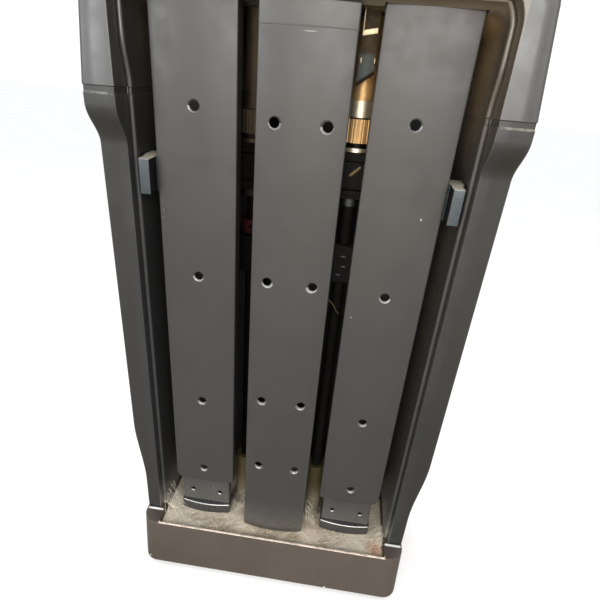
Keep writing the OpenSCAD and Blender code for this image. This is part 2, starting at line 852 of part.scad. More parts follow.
module column_cap() {
    spigot = 14;
    color("#6a6a69") {
        translate([0, column_y, head_z - column_cap_h])
            linear_extrude(column_cap_h)
                bar_outline(column_w, column_d, column_crown, 0);
        translate([0, column_y, head_z - column_cap_h - spigot])
            linear_extrude(spigot)
                bar_outline(column_w, column_d, column_crown, bar_wall + fit_gap);
    }
}

module column_foot() {
    block_h = 30;
    color("#55565a")
        difference() {
            translate([0, column_y, tray_z])
                linear_extrude(block_h)
                    bar_outline(column_w, column_d, column_crown, bar_wall + fit_gap);
            at_column_screws()
                rotate([90, 0, 0]) cylinder(d = screw_d + 2 * fit_gap, h = 26, center = true);
        }
}

// Screws through the column's back lips, into its foot
module at_column_screws() {
    for (s = [-1, 1])
        translate([s * (column_w / 2 - lip_w / 2 - 2), column_back_y, tray_z + 15]) children();
}

module column_screws() {
    color("silver")
        at_column_screws()
            translate([0, screw_head_h, 0])
                rotate([90, 0, 0])
                    bolt(screw_d, bar_wall + 8, screw_head_d, screw_head_h);
}

module post() {
    translate([sleeve_x, post_y, post_z0])
        difference() {
            translate([-post_w / 2, 0, 0]) cube([post_w, post_d, post_l]);
            translate([-post_w / 2 + post_wall, post_wall, -eps])
                cube([post_w - 2 * post_wall, post_d - 2 * post_wall, post_l + 2 * eps]);
            for (s = [-1, 1])
                translate([s * post_hole_spacing / 2, -eps, spigot_h - 11])
                    rotate([-90, 0, 0])
                        cylinder(d = post_hole_d, h = post_wall + 2 * eps);
        }
}

module left_post() {
    color("#3d3d3e") mirror([1, 0, 0]) post();
}

module right_post() {
    color("#3d3d3e") post();
}

module at_foot_bolts() {
    for (s = [-1, 1])
        translate([sleeve_x + s * shoe_w / 4, shoe_y + shoe_d / 2, 0]) children();
}

module post_foot() {
    r = arc_r(shoe_w, shoe_crown);
    side = post_wall + fit_gap;
    difference() {
        union() {
            translate([sleeve_x, shoe_y, tray_z])
                linear_extrude(shoe_h)
                    intersection() {
                        translate([0, r]) circle(r = r, $fn = crown_fn);
                        translate([-shoe_w / 2, 0]) square([shoe_w, shoe_d]);
                    }
            translate([sleeve_x - post_w / 2 + side, post_y + side, post_z0])
                cube([post_w - 2 * side, post_d - 2 * side, spigot_h]);
        }
        for (s = [-1, 1])
            translate([sleeve_x + s * post_hole_spacing / 2, post_y, post_z0 + spigot_h - 11])
                rotate([-90, 0, 0])
                    cylinder(d = post_hole_d - 1, h = post_d - post_wall);
        at_foot_bolts()
            translate([0, 0, tray_z - eps]) cylinder(d = bolt_d + 2 * fit_gap, h = shoe_h - 4 + eps);
    }
}

module left_post_foot() {
    color("#2f2f30") mirror([1, 0, 0]) post_foot();
}

module right_post_foot() {
    color("#2f2f30") post_foot();
}

// Set screws sunk a little below the post's face
module post_screws() {
    sink = 1;
    set_d = post_hole_d - 1 - 2 * fit_gap;
    color("#19191a")
        both_sides()
            for (s = [-1, 1])
                translate([sleeve_x + s * post_hole_spacing / 2, post_y + sink, post_z0 + spigot_h - 11])
                    rotate([-90, 0, 0])
                        cylinder(d = set_d, h = post_d - post_wall - 2 * sink);
}

module foot_bolts() {
    wall = 4;
    head_h = 6;
    color("silver")
        both_sides() at_foot_bolts()
            translate([0, 0, ledge_z - wall - head_h])
                bolt(bolt_d, wall + tray_t + shoe_h - 6, 1.6 * bolt_d, head_h);
}

// Nylon pads on the post's narrow sides, at two heights
module glide_pads() {
    for (s = [-1, 1], z = [post_z1 - pad_l - 2, post_z1 - pad_l - 2 - pad_pitch])
        translate([sleeve_x + s * (post_w / 2 + pad_t / 2), post_y + post_d / 2, z + pad_l / 2])
            cube([pad_t, post_d - 3, pad_l], center = true);
}

module left_glide_pads() {
    color("ivory") mirror([1, 0, 0]) glide_pads();
}

module right_glide_pads() {
    color("ivory") glide_pads();
}

module guide_rod() {
    translate([rod_x, rod_y, tray_z]) cylinder(d = rod_d, h = rod_top_z - tray_z);
}

module left_guide_rod() {
    color("#2a2b2d") mirror([1, 0, 0]) guide_rod();
}

module right_guide_rod() {
    color("#2a2b2d") guide_rod();
}

module rod_sockets() {
    flange_d = socket_d + 14;
    flange_h = 6;
    color("#4f4630")
        both_sides()
            translate([rod_x, rod_y, tray_z])
                difference() {
                    union() {
                        cylinder(d = socket_d, h = socket_h);
                        cylinder(d = flange_d, h = flange_h);
                    }
                    translate([0, 0, -eps]) cylinder(d = rod_d + 2 * run_gap, h = socket_h + 2 * eps);
                }
}

module rod_bracket() {
    arm_half = rod_x + tube_d / 2 + yoke_boss_wall;
    arm_y0 = sleeve_back_y + 6;
    arm_y1 = rod_y + tube_d / 2;
    color("#141415")
        difference() {
            union() {
                translate([-column_w / 2 + bar_wall, column_back_y, bracket_z])
                    cube([column_w - 2 * bar_wall, arm_y0 + eps - column_back_y, bracket_h]);
                translate([-arm_half, arm_y0, bracket_z]) cube([2 * arm_half, arm_y1 - arm_y0, bracket_h]);
            }
            both_sides()
                translate([rod_x, rod_y, bracket_z - eps])
                    cylinder(d = rod_d + 2 * run_gap, h = bracket_h + 2 * eps);
            at_bracket_screws()
                rotate([90, 0, 0]) cylinder(d = screw_d + 2 * fit_gap, h = 4 * tube_d, center = true);
        }
}

module at_bracket_screws() {
    for (s = [-1, 1], z = [0.25, 0.75])
        translate([s * (column_w / 2 - lip_w / 2 - 2), column_back_y, bracket_z + z * bracket_h]) children();
}

module bracket_screws() {
    length = rod_y + tube_d / 2 - column_back_y;
    color("silver")
        at_bracket_screws()
            translate([0, length + screw_head_h, 0])
                rotate([90, 0, 0])
                    bolt(screw_d, length + bar_wall - 1, screw_head_d, screw_head_h);
}

module stop_collar() {
    color("#b32018")
        translate([-rod_x, rod_y, stop_z])
            difference() {
                cylinder(d = tube_d + 4, h = stop_h);
                translate([0, 0, -eps]) cylinder(d = rod_d + 2 * run_gap, h = stop_h + 2 * eps);
                translate([0, -tube_d / 2, stop_h / 2])
                    rotate([90, 0, 0])
                        cylinder(d = screw_d, h = 2 * tube_d, center = true);
            }
}

module head_bushes() {
    color("#e4dfcf")
        both_sides()
            translate([rod_x, rod_y, head_z])
                difference() {
                    union() {
                        cylinder(d = bush_hole_d, h = head_h);
                        translate([0, 0, -head_bush_flange])
                            cylinder(d = bush_hole_d + 6, h = head_bush_flange);
                    }
                    translate([0, 0, -head_bush_flange - eps])
                        cylinder(d = tube_d + 2 * run_gap, h = head_h + head_bush_flange + 2 * eps);
                }
}

module gas_cylinder() {
    bottom_t = 6;
    eye_w = 12;
    color("#1d1d1f")
        difference() {
            union() {
                translate([0, gas_y, gas_z0]) cylinder(d = gas_d, h = gas_l);
                translate([-eye_w / 2, gas_y, gas_pivot_z])
                    rotate([0, 90, 0])
                        cylinder(d = 18, h = eye_w);
                translate([-eye_w / 2, gas_y - 8, gas_pivot_z]) cube([eye_w, 16, gas_d / 2 + eps]);
            }
            translate([0, gas_y, gas_z0 + bottom_t]) cylinder(d = gas_d - 2 * gas_wall, h = gas_l);
            translate([-eye_w, gas_y, gas_pivot_z])
                rotate([0, 90, 0])
                    cylinder(d = bolt_d + 2 * run_gap, h = 2 * eye_w);
        }
}

module gas_gland() {
    color("#88898c")
        translate([0, gas_y, gas_z1 - gland_h])
            difference() {
                cylinder(d = gas_d - 2 * gas_wall - 2 * run_gap, h = gland_h);
                translate([0, 0, -eps]) cylinder(d = gas_rod_d + 2 * run_gap, h = gland_h + 2 * eps);
            }
}

module gas_bracket() {
    ear_t = 5;
    gap_w = 13;
    plate_t = 4;
    plate_w = 60;
    plate_d = 36;
    color("#55565a")
        difference() {
            union() {
                translate([-plate_w / 2, gas_y - plate_d / 2, tray_z]) cube([plate_w, plate_d, plate_t]);
                for (s = [-1, 1])
                    translate([s * (gap_w + ear_t) / 2 - ear_t / 2, gas_y - 10, tray_z])
                        cube([ear_t, 20, gas_pivot_h + 9]);
            }
            translate([-plate_w, gas_y, gas_pivot_z])
                rotate([0, 90, 0])
                    cylinder(d = bolt_d + 2 * run_gap, h = 2 * plate_w);
        }
}

module gas_pin() {
    pin_l = 30;
    color("silver")
        translate([-pin_l / 2, gas_y, gas_pivot_z])
            rotate([0, 90, 0]) {
                cylinder(d = bolt_d, h = pin_l);
                translate([0, 0, -4]) cylinder(d = 1.6 * bolt_d, h = 4);
            }
}

module sleeve() {
    difference() {
        translate([sleeve_x, bar_y, sleeve_z0])
            linear_extrude(sleeve_z1 - sleeve_z0)
                bar_channel(sleeve_w, sleeve_d, sleeve_crown);
        for (p = sleeve_pitch)
            translate([sleeve_x, bar_y, sleeve_z0 + sleeve_row_first + p])
                bar_hole(sleeve_d / 2);
        translate([sleeve_x + sleeve_w / 2 - sleeve_end_r, sleeve_back_y + eps, sleeve_z0 + sleeve_end_r])
            rotate([90, 0, 0])
                linear_extrude(sleeve_d + 2 * eps)
                    difference() {
                        translate([0, -sleeve_end_r - eps]) square(sleeve_end_r + eps);
                        circle(r = sleeve_end_r);
                    }
        at_yoke_screws()
            rotate([90, 0, 0]) cylinder(d = screw_d + 2 * fit_gap, h = 3 * yoke_t, center = true);
    }
}

module left_sleeve() {
    color("#626260") mirror([1, 0, 0]) sleeve();
}

module right_sleeve() {
    color("#626260") sleeve();
}

module at_sleeve_bolts() {
    for (s = [-1, 1])
        translate([sleeve_x + s * sleeve_bolt_dx, sleeve_bolt_y, 0]) children();
}

module sleeve_blocks() {
    color("#77787b")
        both_sides()
            difference() {
                translate([sleeve_x, bar_y, sleeve_z1 - sleeve_block_h])
                    linear_extrude(sleeve_block_h)
                        bar_outline(sleeve_w, sleeve_d, sleeve_crown, bar_wall + fit_gap);
                at_sleeve_bolts()
                    translate([0, 0, sleeve_z1 - sleeve_block_h + 4])
                        cylinder(d = bolt_d + 2 * fit_gap, h = sleeve_block_h);
            }
}

module crosshead() {
    half = sleeve_x + sleeve_w / 2 + 3;
    depth = crosshead_y1 - crosshead_y0;
    head_sink = bolt_d + 1;
    wall = 8;
    color("#2b2c2e")
        difference() {
            translate([-half, crosshead_y0, sleeve_z1]) cube([2 * half, depth, crosshead_h]);
            translate([-rod_x + tube_d, crosshead_y0 + wall, sleeve_z1 - eps])
                cube([2 * (rod_x - tube_d), depth - 2 * wall, crosshead_h - wall + eps]);
            both_sides() {
                translate([rod_x, rod_y, sleeve_z1 - eps])
                    cylinder(d = tube_d + 2 * fit_gap, h = crosshead_h / 2 + eps);
                at_sleeve_bolts() {
                    translate([0, 0, sleeve_z1 - eps])
                        cylinder(d = bolt_d + 2 * fit_gap, h = crosshead_h + 2 * eps);
                    translate([0, 0, sleeve_z1 + crosshead_h - head_sink])
                        cylinder(d = 1.8 * bolt_d, h = head_sink + eps);
                }
                for (y = [rail_hole_y0, rail_hole_y0 + rail_hole_y])
                    translate([rail_hole_x / 2, y, sleeve_z1 + crosshead_h - rail_hole_depth])
                        cylinder(d = rail_hole_d, h = rail_hole_depth + eps);
            }
        }
}

module crosshead_bolts() {
    head_sink = bolt_d + 1;
    color("silver")
        both_sides() at_sleeve_bolts()
            translate([0, 0, sleeve_z1 + crosshead_h - head_sink + bolt_d])
                rotate([180, 0, 0])
                    bolt(bolt_d, crosshead_h - head_sink + sleeve_block_h - 8, 1.6 * bolt_d, bolt_d);
}

module yoke() {
    half = sleeve_x + sleeve_w / 2 - 4;
    arm_w = 36;
    arm_h = 18;
    color("#1b1b1d")
        difference() {
            union() {
                translate([-half, sleeve_back_y, yoke_z0]) cube([2 * half, yoke_t, yoke_h]);
                both_sides() translate([rod_x, rod_y, yoke_z0]) cylinder(d = boss_d, h = yoke_h);
                translate([-arm_w / 2, sleeve_back_y, yoke_z0])
                    cube([arm_w, gas_y + arm_w / 2 - sleeve_back_y, arm_h]);
            }
            both_sides() {
                translate([rod_x, rod_y, yoke_z0 - eps])
                    cylinder(d = tube_d + 2 * fit_gap, h = yoke_h + 2 * eps);
                at_yoke_screws()
                    rotate([90, 0, 0]) cylinder(d = screw_d + 2 * fit_gap, h = 4 * yoke_t, center = true);
            }
            translate([0, gas_y, yoke_z0 - eps]) cylinder(d = bolt_d + 2 * fit_gap, h = arm_h + 2 * eps);
        }
}

// Screws through the yoke into the sleeves' back lips
module at_yoke_screws() {
    for (s = [-1, 1], z = [0.25, 0.75])
        translate([sleeve_x + s * (sleeve_w / 2 - lip_w / 2 - 2), sleeve_back_y, yoke_z0 + z * yoke_h])
            children();
}

module yoke_screws() {
    color("silver")
        both_sides() at_yoke_screws()
            translate([0, yoke_t + screw_head_h, 0])
                rotate([90, 0, 0])
                    bolt(screw_d, yoke_t + bar_wall - 0.5, screw_head_d, screw_head_h);
}

module lift_tube() {
    translate([rod_x, rod_y, yoke_z0])
        difference() {
            cylinder(d = tube_d, h = sleeve_z1 + crosshead_h / 2 - yoke_z0);
            translate([0, 0, -eps])
                cylinder(d = tube_bore, h = sleeve_z1 + crosshead_h - yoke_z0);
        }
}

module left_lift_tube() {
    color("#b8923c") mirror([1, 0, 0]) lift_tube();
}

module right_lift_tube() {
    color("#b8923c") lift_tube();
}

module clamp_nuts() {
    grooves = 20;
    groove_d = 3;
    color("#c79a3a")
        both_sides()
            translate([rod_x, rod_y, nut_z])
                difference() {
                    union() {
                        cylinder(d = nut_d, h = nut_h);
                        translate([0, 0, -nut_neck]) cylinder(d = tube_d + 5, h = nut_neck + eps);
                    }
                    translate([0, 0, -nut_neck - eps])
                        cylinder(d = tube_d + 2 * fit_gap, h = nut_h + nut_neck + 2 * eps);
                    for (i = [0 : grooves - 1])
                        rotate([0, 0, 360 * i / grooves])
                            translate([nut_d / 2 + groove_d / 4, 0, -eps])
                                cylinder(d = groove_d, h = nut_h + 2 * eps);
                }
}

// Ring round a lift tube
module tube_ring(z, d, h) {
    translate([rod_x, rod_y, z])
        difference() {
            cylinder(d = d, h = h);
            translate([0, 0, -eps]) cylinder(d = tube_d + 2 * fit_gap, h = h + 2 * eps);
        }
}

// Polished collars on the nuts and washers under them
module clamp_collars() {
    color("#dcbf7a")
        both_sides() {
            tube_ring(collar_z, nut_d - 4, collar_h);
            tube_ring(washer_z, nut_d + 2, washer_h);
        }
}

module lift_bushes() {
    spigot = 30;
    color("#a5a7aa")
        both_sides()
            translate([rod_x, rod_y, bush_z])
                difference() {
                    union() {
                        cylinder(d = nut_d - 2, h = bush_h);
                        cylinder(d = tube_bore - 2 * fit_gap, h = bush_h + spigot);
                    }
                    translate([0, 0, -eps]) cylinder(d = rod_d + 2 * run_gap, h = bush_h + spigot + 2 * eps);
                }
}

module gas_rod() {
    stud_l = 34;
    color("#b9babd")
        translate([0, gas_y, 0]) {
            translate([0, 0, piston_z]) cylinder(d = gas_d - 2 * gas_wall - 2 * slide_gap, h = piston_h);
            translate([0, 0, piston_z]) cylinder(d = gas_rod_d, h = yoke_z0 - piston_z);
            translate([0, 0, yoke_z0 - eps]) cylinder(d = bolt_d, h = stud_l + eps);
        }
}

module gas_rod_nut() {
    arm_h = 18;
    color("silver")
        translate([0, gas_y, yoke_z0 + arm_h])
            difference() {
                cylinder(d = 2 * bolt_d, h = bolt_d, $fn = 6);
                translate([0, 0, -eps]) cylinder(d = bolt_d + 2 * run_gap, h = bolt_d + 2 * eps);
            }
}

// Narrow head in front, wider body behind it, top rising towards the back
module lock_block() {
    z0 = lock_z - lock_h / 2;
    x1 = lock_x0 + lock_w;
    y1 = lock_y0 + lock_d;
    neck_y = lock_y0 + lock_head_d;
    body_y = neck_y + lock_side;
    difference() {
        intersection() {
            translate([lock_x0, 0, 0])
                rotate([90, 0, 90])
                    linear_extrude(lock_w)
                        polygon([
                            [lock_y0, z0], [y1, z0],
                            [y1, z0 + lock_h + lock_rise], [lock_y0, z0 + lock_h]]);
            translate([0, 0, z0])
                linear_extrude(lock_h + lock_rise)
                    polygon([
                        [lock_x0 + lock_side, lock_y0], [x1 - lock_side, lock_y0],
                        [x1 - lock_side, neck_y], [x1, body_y], [x1, y1],
                        [lock_x0, y1], [lock_x0, body_y], [lock_x0 + lock_side, neck_y]]);
        }
        translate([lock_x0 + 3, lock_pin_y, lock_z])
            rotate([0, 90, 0])
                cylinder(d = lock_pin_d + 2 * run_gap, h = lock_w);
    }
}

module left_lock_block() {
    color("#7d838c") mirror([1, 0, 0]) lock_block();
}

module right_lock_block() {
    color("#7d838c") lock_block();
}

// Pin from the lock block out to the knob, with a collar for the spring
module lock_pin() {
    pin_x0 = lock_x0 + 3;
    translate([0, lock_pin_y, lock_z])
        rotate([0, 90, 0]) {
            translate([0, 0, pin_x0]) cylinder(d = lock_pin_d, h = knob_x + knob_h - pin_x0);
            translate([0, 0, lock_collar_x]) cylinder(d = lock_pin_d + 6, h = lock_collar_t);
        }
}

module left_lock_pin() {
    color("silver") mirror([1, 0, 0]) lock_pin();
}

module right_lock_pin() {
    color("silver") lock_pin();
}

module lock_knob() {
    flutes = 12;
    flute_d = 3.5;
    translate([knob_x, lock_pin_y, lock_z])
        rotate([0, 90, 0])
            difference() {
                cylinder(d = knob_d, h = knob_h);
                translate([0, 0, -eps]) cylinder(d = lock_pin_d + 2 * run_gap, h = knob_h + 2 * eps);
                for (i = [0 : flutes - 1])
                    rotate([0, 0, 360 * i / flutes])
                        translate([knob_d / 2 + flute_d / 4, 0, -eps])
                            cylinder(d = flute_d, h = knob_h + 2 * eps);
            }
}

module left_lock_knob() {
    color("#19191a") mirror([1, 0, 0]) lock_knob();
}

module right_lock_knob() {
    color("#19191a") lock_knob();
}

// Coil spring along +X: a tube of six sides swept along a helix
module lock_spring() {
    sides = 6;
    rings = 8 * spring_turns;
    x0 = lock_collar_x + lock_collar_t + spring_wire / 2 + 0.1;
    x1 = cup_x - cup_wall - spring_wire / 2 - 0.1;
    coil_r = lock_pin_d / 2 + spring_wire / 2 + slide_gap;
    points = [
        for (i = [0 : rings], k = [0 : sides - 1])
            let (
                turn = 360 * spring_turns * i / rings,
                a = 360 * k / sides,
                r = coil_r + spring_wire / 2 * cos(a))
            [x0 + (x1 - x0) * i / rings + spring_wire / 2 * sin(a), r * cos(turn), r * sin(turn)]];
    walls = [
        for (i = [0 : rings - 1], k = [0 : sides - 1], half = [0, 1])
            let (
                a = i * sides + k,
                b = i * sides + (k + 1) % sides,
                c = a + sides,
                d = b + sides)
            half == 0 ? [a, c, b] : [b, c, d]];
    ends = concat(
        [for (k = [1 : sides - 2]) [0, k, k + 1]],
        [for (k = [1 : sides - 2]) [rings * sides, rings * sides + k + 1, rings * sides + k]]);
    translate([0, lock_pin_y, lock_z]) polyhedron(points, concat(walls, ends));
}

module left_lock_spring() {
    color("silver") mirror([1, 0, 0]) lock_spring();
}

module right_lock_spring() {
    color("silver") lock_spring();
}

base_plinth();
base_plate();
base_plate_screws();
rubber_feet();
pedestals();
floor_tray();
tray_screws();
left_lower_cheek();
right_lower_cheek();
upper_shell();
seam_bolts();
cheek_bolts();
back_cover();
back_cover_screws();
centre_column();
column_cap();
column_foot();
column_screws();
left_post();
right_post();
left_post_foot();
right_post_foot();
post_screws();
foot_bolts();
left_glide_pads();
right_glide_pads();
left_guide_rod();
right_guide_rod();
rod_sockets();
rod_bracket();
bracket_screws();
stop_collar();
head_bushes();
gas_cylinder();
gas_gland();
gas_bracket();
gas_pin();
left_sleeve();
right_sleeve();
sleeve_blocks();
crosshead();
crosshead_bolts();
yoke();
yoke_screws();
left_lift_tube();
right_lift_tube();
clamp_nuts();
clamp_collars();
lift_bushes();
gas_rod();
gas_rod_nut();
left_lock_block();
right_lock_block();
left_lock_pin();
right_lock_pin();
left_lock_knob();
right_lock_knob();
left_lock_spring();
right_lock_spring();
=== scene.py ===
import json
import math
import random

import bmesh
import bpy
from mathutils import Matrix, Vector, noise


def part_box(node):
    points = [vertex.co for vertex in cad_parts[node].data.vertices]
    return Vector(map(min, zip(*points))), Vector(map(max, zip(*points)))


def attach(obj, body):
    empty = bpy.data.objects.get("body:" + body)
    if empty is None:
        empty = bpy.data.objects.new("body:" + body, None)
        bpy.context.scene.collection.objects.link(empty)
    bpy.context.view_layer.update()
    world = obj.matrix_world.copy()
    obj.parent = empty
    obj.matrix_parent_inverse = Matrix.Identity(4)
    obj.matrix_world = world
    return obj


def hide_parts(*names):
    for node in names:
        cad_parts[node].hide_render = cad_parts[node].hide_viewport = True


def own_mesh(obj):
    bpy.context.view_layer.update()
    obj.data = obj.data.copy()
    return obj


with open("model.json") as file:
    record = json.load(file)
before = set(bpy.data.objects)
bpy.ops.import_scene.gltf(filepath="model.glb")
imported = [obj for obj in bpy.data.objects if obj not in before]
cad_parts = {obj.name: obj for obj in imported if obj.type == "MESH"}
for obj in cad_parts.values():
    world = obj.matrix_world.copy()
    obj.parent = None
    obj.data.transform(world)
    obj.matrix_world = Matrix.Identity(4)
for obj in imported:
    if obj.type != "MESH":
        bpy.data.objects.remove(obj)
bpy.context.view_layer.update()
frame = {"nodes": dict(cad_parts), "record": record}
NODES = frame["nodes"]
SLOT_OF = {part["node"]: part["material_slot"] for part in frame["record"]["subparts"]}
MM = 0.001
SIDES = (-1, 1)
rng = random.Random(7)


def span(node):
    """Lowest and highest corner of a CAD node, in millimetres."""
    low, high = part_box(node)
    return Vector(low) / MM, Vector(high) / MM


def middle(node):
    """Middle of a CAD node's box, in millimetres."""
    return [(low + high) / 2 for low, high in zip(*span(node))]


# Sizes in millimetres, taken from the frame
cheek_low, cheek_high = span("right_lower_cheek")
shell_low, shell_high = span("upper_shell")
plinth_low, plinth_high = span("base_plinth")
tray_low, tray_high = span("floor_tray")
sleeve_low, sleeve_high = span("right_sleeve")
column_low, column_high = span("centre_column")
cap_low, cap_high = span("column_cap")
lock_low, lock_high = span("right_lock_block")
post_low, post_high = span("right_post")
shoe_low, shoe_high = span("right_post_foot")
PLINTH_TOP = plinth_high.z
TRAY_TOP = tray_high.z
SEAM = cheek_high.z
TOP = shell_high.z
HEAD = cap_high.z
OPENING_HALF = cheek_low.x
COVER_FRONT = cheek_high.y
SLEEVE_X = middle("right_sleeve")[0]
TUBE_X, TUBE_Y, _ = middle("right_lift_tube")
_, PIN_Y, PIN_Z = middle("right_lock_pin")

# Form of the casing
SHOULDER_STEP = 18.0
SHOULDER_H = 42.0
SHOULDER_LIP = 18.0
SHOULDER_FLARE = 3.0
TOP_LEAN = 12.0
ANKLE_IN = 12.0
ANKLE_H = 120.0
ANKLE_RISE = 60.0
CHEEK_FRONT = cheek_low.y + SHOULDER_STEP
CASING_HALF = cheek_high.x - SHOULDER_FLARE
CHEEK_MID = (OPENING_HALF + CASING_HALF) / 2
FOOT_CHAMFER = 0.8
SHELL_WALL = 4.0
BEAD_W = 6.2
BEAD_R = 3.1
BEAD_ROOT = 0.8
BEAD_GAP = 0.25
BEAD_CREST = sleeve_low.y - 2.0
BEAD_LEAN = 9.0
BEAD_LEAN_H = 50.0
LINTEL_RISE = 10.0
LINTEL_FOOT = sleeve_low.y + 2.0
CORNER_R = 15.0
OUTER_CORNER_R = 22.0
FLANGE_EDGE_R = 1.2
FLANGE_OUTER_R = 4.0
FLANGE_FLAT = 12.0
UPPER_FLAT = 21.0
FLANGE_FALL = 3.0
FALL_REACH = 16.0
FALL_AT_CREASE = 0.12
FALL_AT_MIDDLE = 0.52
CREASE_R = 1.5
CREASE_SHARE = 0.6
SEAM_CHAMFER = 1.1
SEAM_BAND = 6.0
SEAM_IN = 0.8
ANKLE_PITCH, CHEEK_PITCH, SHOULDER_PITCH = 10.0, 60.0, 3.0
PLINTH_DRAFT = 3.0
PLINTH_CORNER_R = 24.0
PLINTH_BACK_R = 9.0
PLINTH_EDGE_R = 1.2
PLINTH_CHAMFER = 0.8
PLINTH_WALL = 5.0
PLINTH_RING = 40.0
RIDGE_R = 2.6
RIDGE_END = 2.0
RIDGE_GAP = 0.4
LEDGE_W = 8.0
LEDGE_T = 6.0
TRAY_GAP = 0.5
TRAY_R = 2.0
CUP_X = span("right_lock_knob")[0].x - 1.0
CUP_R = 13.0
CUP_WALL = 3.0
CUP_SEGMENTS = 48
PIN_BORE_R = 4.15
BUSH_R = 16.2
BUSH_CUT = 60.0
CUP_SINK = 0.6
GUIDE_EDGE = 10.0
GUIDE_BACK = 8.0
BOSS_R = 5.5
BOSS_L = 23.8
BOSS_IN = 12.0
RIB_T = 4.0
RIB_D = 24.0
RIB_IN = 4.0
RIB_GAP = 0.1

# Form of the bars, posts and locks
BAR_WALL = 4.0
BAR_BACK_R = 2.5
LIP_W = 14.0
SLEEVE_CROWN = 4.0
COLUMN_CROWN = 6.0
BAR_EDGE_R = 1.8
BAR_END_R = 0.7
BAR_RING = 3.0
SLEEVE_END_R = (2.0, 12.0)
COLUMN_END_R = (6.0, 6.0)
HOLE_R = 5.75
HOLE_SINK = 1.5
HOLE_LEAD = 3.0
HOLE_FIELD = 16.0
HOLE_CUT = 30.0
HOLE_IN = 6.0
SLEEVE_ROWS = (29.5, 168.5, 372.5, 576.5)
COLUMN_ROWS = (144.5, 271.5, 458.5, 645.5)
COLUMN_HOLE_X = 29.0
CAP_ROUND = 0.25
POST_HALF = (post_high.x - post_low.x) / 2
POST_WALL = 3.0
POST_EDGE_R = 2.0
POST_HOLE_X = 23.5
POST_HOLE_Z = 23.0
POST_HOLE_R = 3.25
POST_RIM = 1.5
POST_LEAD = 2.0
POST_RING = 60.0
# Height above which the post, hidden in its sleeve, is painted near-black as shade
POST_SHADE_Z = 275.0
PUNCH_MARKS = ((-9, 41), (11, 36), (-31, 12), (30, 45))
PUNCH_R = 0.9
PUNCH_L = 1.6
SHOE_CROWN = 5.0
SHOE_EDGE_R = 3.0
SHOE_ROUND = 2.2
SHOE_BOLT_R = 4.15
SHOE_BOLT_L = 28.0
SPIGOT_GAP = 0.1
SPIGOT_LAP = 0.2
LOCK_HEAD_D = 18.0
LOCK_SIDE = 3.25
LOCK_RISE = 2.5
LOCK_TRAVEL = 3.5
LOCK_ROUND = 1.5
LOCK_BORE_R = 4.05
LOCK_BORE_L = 22.0
LOCK_BORE_IN = 5.0
SPRING_WIRE = 1.5
SPRING_TURNS = 5
VENT_L, VENT_H, VENT_PITCH, VENT_COUNT = 84.0, 6.0, 14.0, 7
VENT_Z = (PLINTH_TOP + 70.0, SEAM - 154.0)
MESH_HALF, MESH_H, MESH_R, MESH_DROP = 48.0, 102.0, 5.0, 6.0
COVER_SCREW_Z = (PLINTH_TOP + 48.0, PLINTH_TOP + 330.0, SEAM - 40.0, (SEAM + TOP) / 2)
COVER_SCREW_R = 2.2
COVER_PITCH = 9.0

# Trim in the right-hand gap
PEG_ENDS = (Vector((57.5, -29.5, 688.6)), Vector((70.1, -29.5, 700.1)))
PEG_R = 2.0
HOOK = ((48.0, -22.0, 549.0), (47.0, -24.0, 530.0), (50.0, -24.0, 521.0), (54.0, -24.0, 518.2),
        (58.7, -24.0, 512.7), (62.3, -24.0, 505.4), (66.9, -24.0, 501.3))
HOOK_R = 0.7
STRAP_X = (53.0, 70.5)
STRAP_FOOT = (784.0, 796.0)
STRAP_T = 1.5
STRAP_TAB_Z = 835.0
STRAP_STUD_X = (STRAP_X[0] + 2.2, STRAP_X[1] - 0.9)
STRAP_STUD_Z = 809.0


# Meshes

WELD = 0.02
SMOOTH_ANGLE = math.radians(38)


def link(obj):
    bpy.context.scene.collection.objects.link(obj)
    return obj


def soften(obj):
    """Smooth shading, with creases only where faces meet sharply."""
    mesh = obj.data
    mesh.polygons.foreach_set("use_smooth", [True] * len(mesh.polygons))
    mesh.set_sharp_from_angle(angle=SMOOTH_ANGLE)
    return obj


def add_mesh(name, bm):
    bmesh.ops.recalc_face_normals(bm, faces=bm.faces)
    mesh = bpy.data.meshes.new(name)
    bm.to_mesh(mesh)
    bm.free()
    return soften(link(bpy.data.objects.new(name, mesh)))


def loft(name, rings, cyclic=False):
    """Closed solid through rings of points in millimetres, all with the same count."""
    bm = bmesh.new()
    loops = [[bm.verts.new(Vector(p) * MM) for p in ring] for ring in rings]
    following = loops[1:] + loops[:1] if cyclic else loops[1:]
    for low, high in zip(loops, following):
        for i in range(len(low)):
            j = (i + 1) % len(low)
            bm.faces.new((low[i], low[j], high[j], high[i]))
    if not cyclic:
        bm.faces.new(loops[0])
        bm.faces.new(loops[-1])
    return add_mesh(name, bm)


def slab(name, outline, depths):
    """Solid through depths along Y, its outline given by X and Z."""
    return loft(name, [[(x, y, z) for x, z in outline] for y in depths])


def block(name, corner, opposite):
    """Box between two opposite corners in millimetres."""
    bm = bmesh.new()
    a, b = Vector(corner) * MM, Vector(opposite) * MM
    size = [abs(c) for c in b - a]
    bmesh.ops.create_cube(bm, size=1, matrix=Matrix.Translation((a + b) / 2) @ Matrix.Diagonal((*size, 1)))
    return add_mesh(name, bm)


def pins(name, centres, radius, length, axis, segments=40, tip=None):
    """Round cutters or pegs round some middles, along one axis; tip is the radius at the front end."""
    turn = {"X": Matrix.Rotation(math.pi / 2, 4, "Y"), "Y": Matrix.Rotation(math.pi / 2, 4, "X"),
            "Z": Matrix()}
    bm = bmesh.new()
    for centre in centres:
        bmesh.ops.create_cone(
            bm, cap_ends=True, segments=segments, radius1=radius * MM, radius2=(tip or radius) * MM,
            depth=length * MM, matrix=Matrix.Translation(Vector(centre) * MM) @ turn[axis])
    return add_mesh(name, bm)


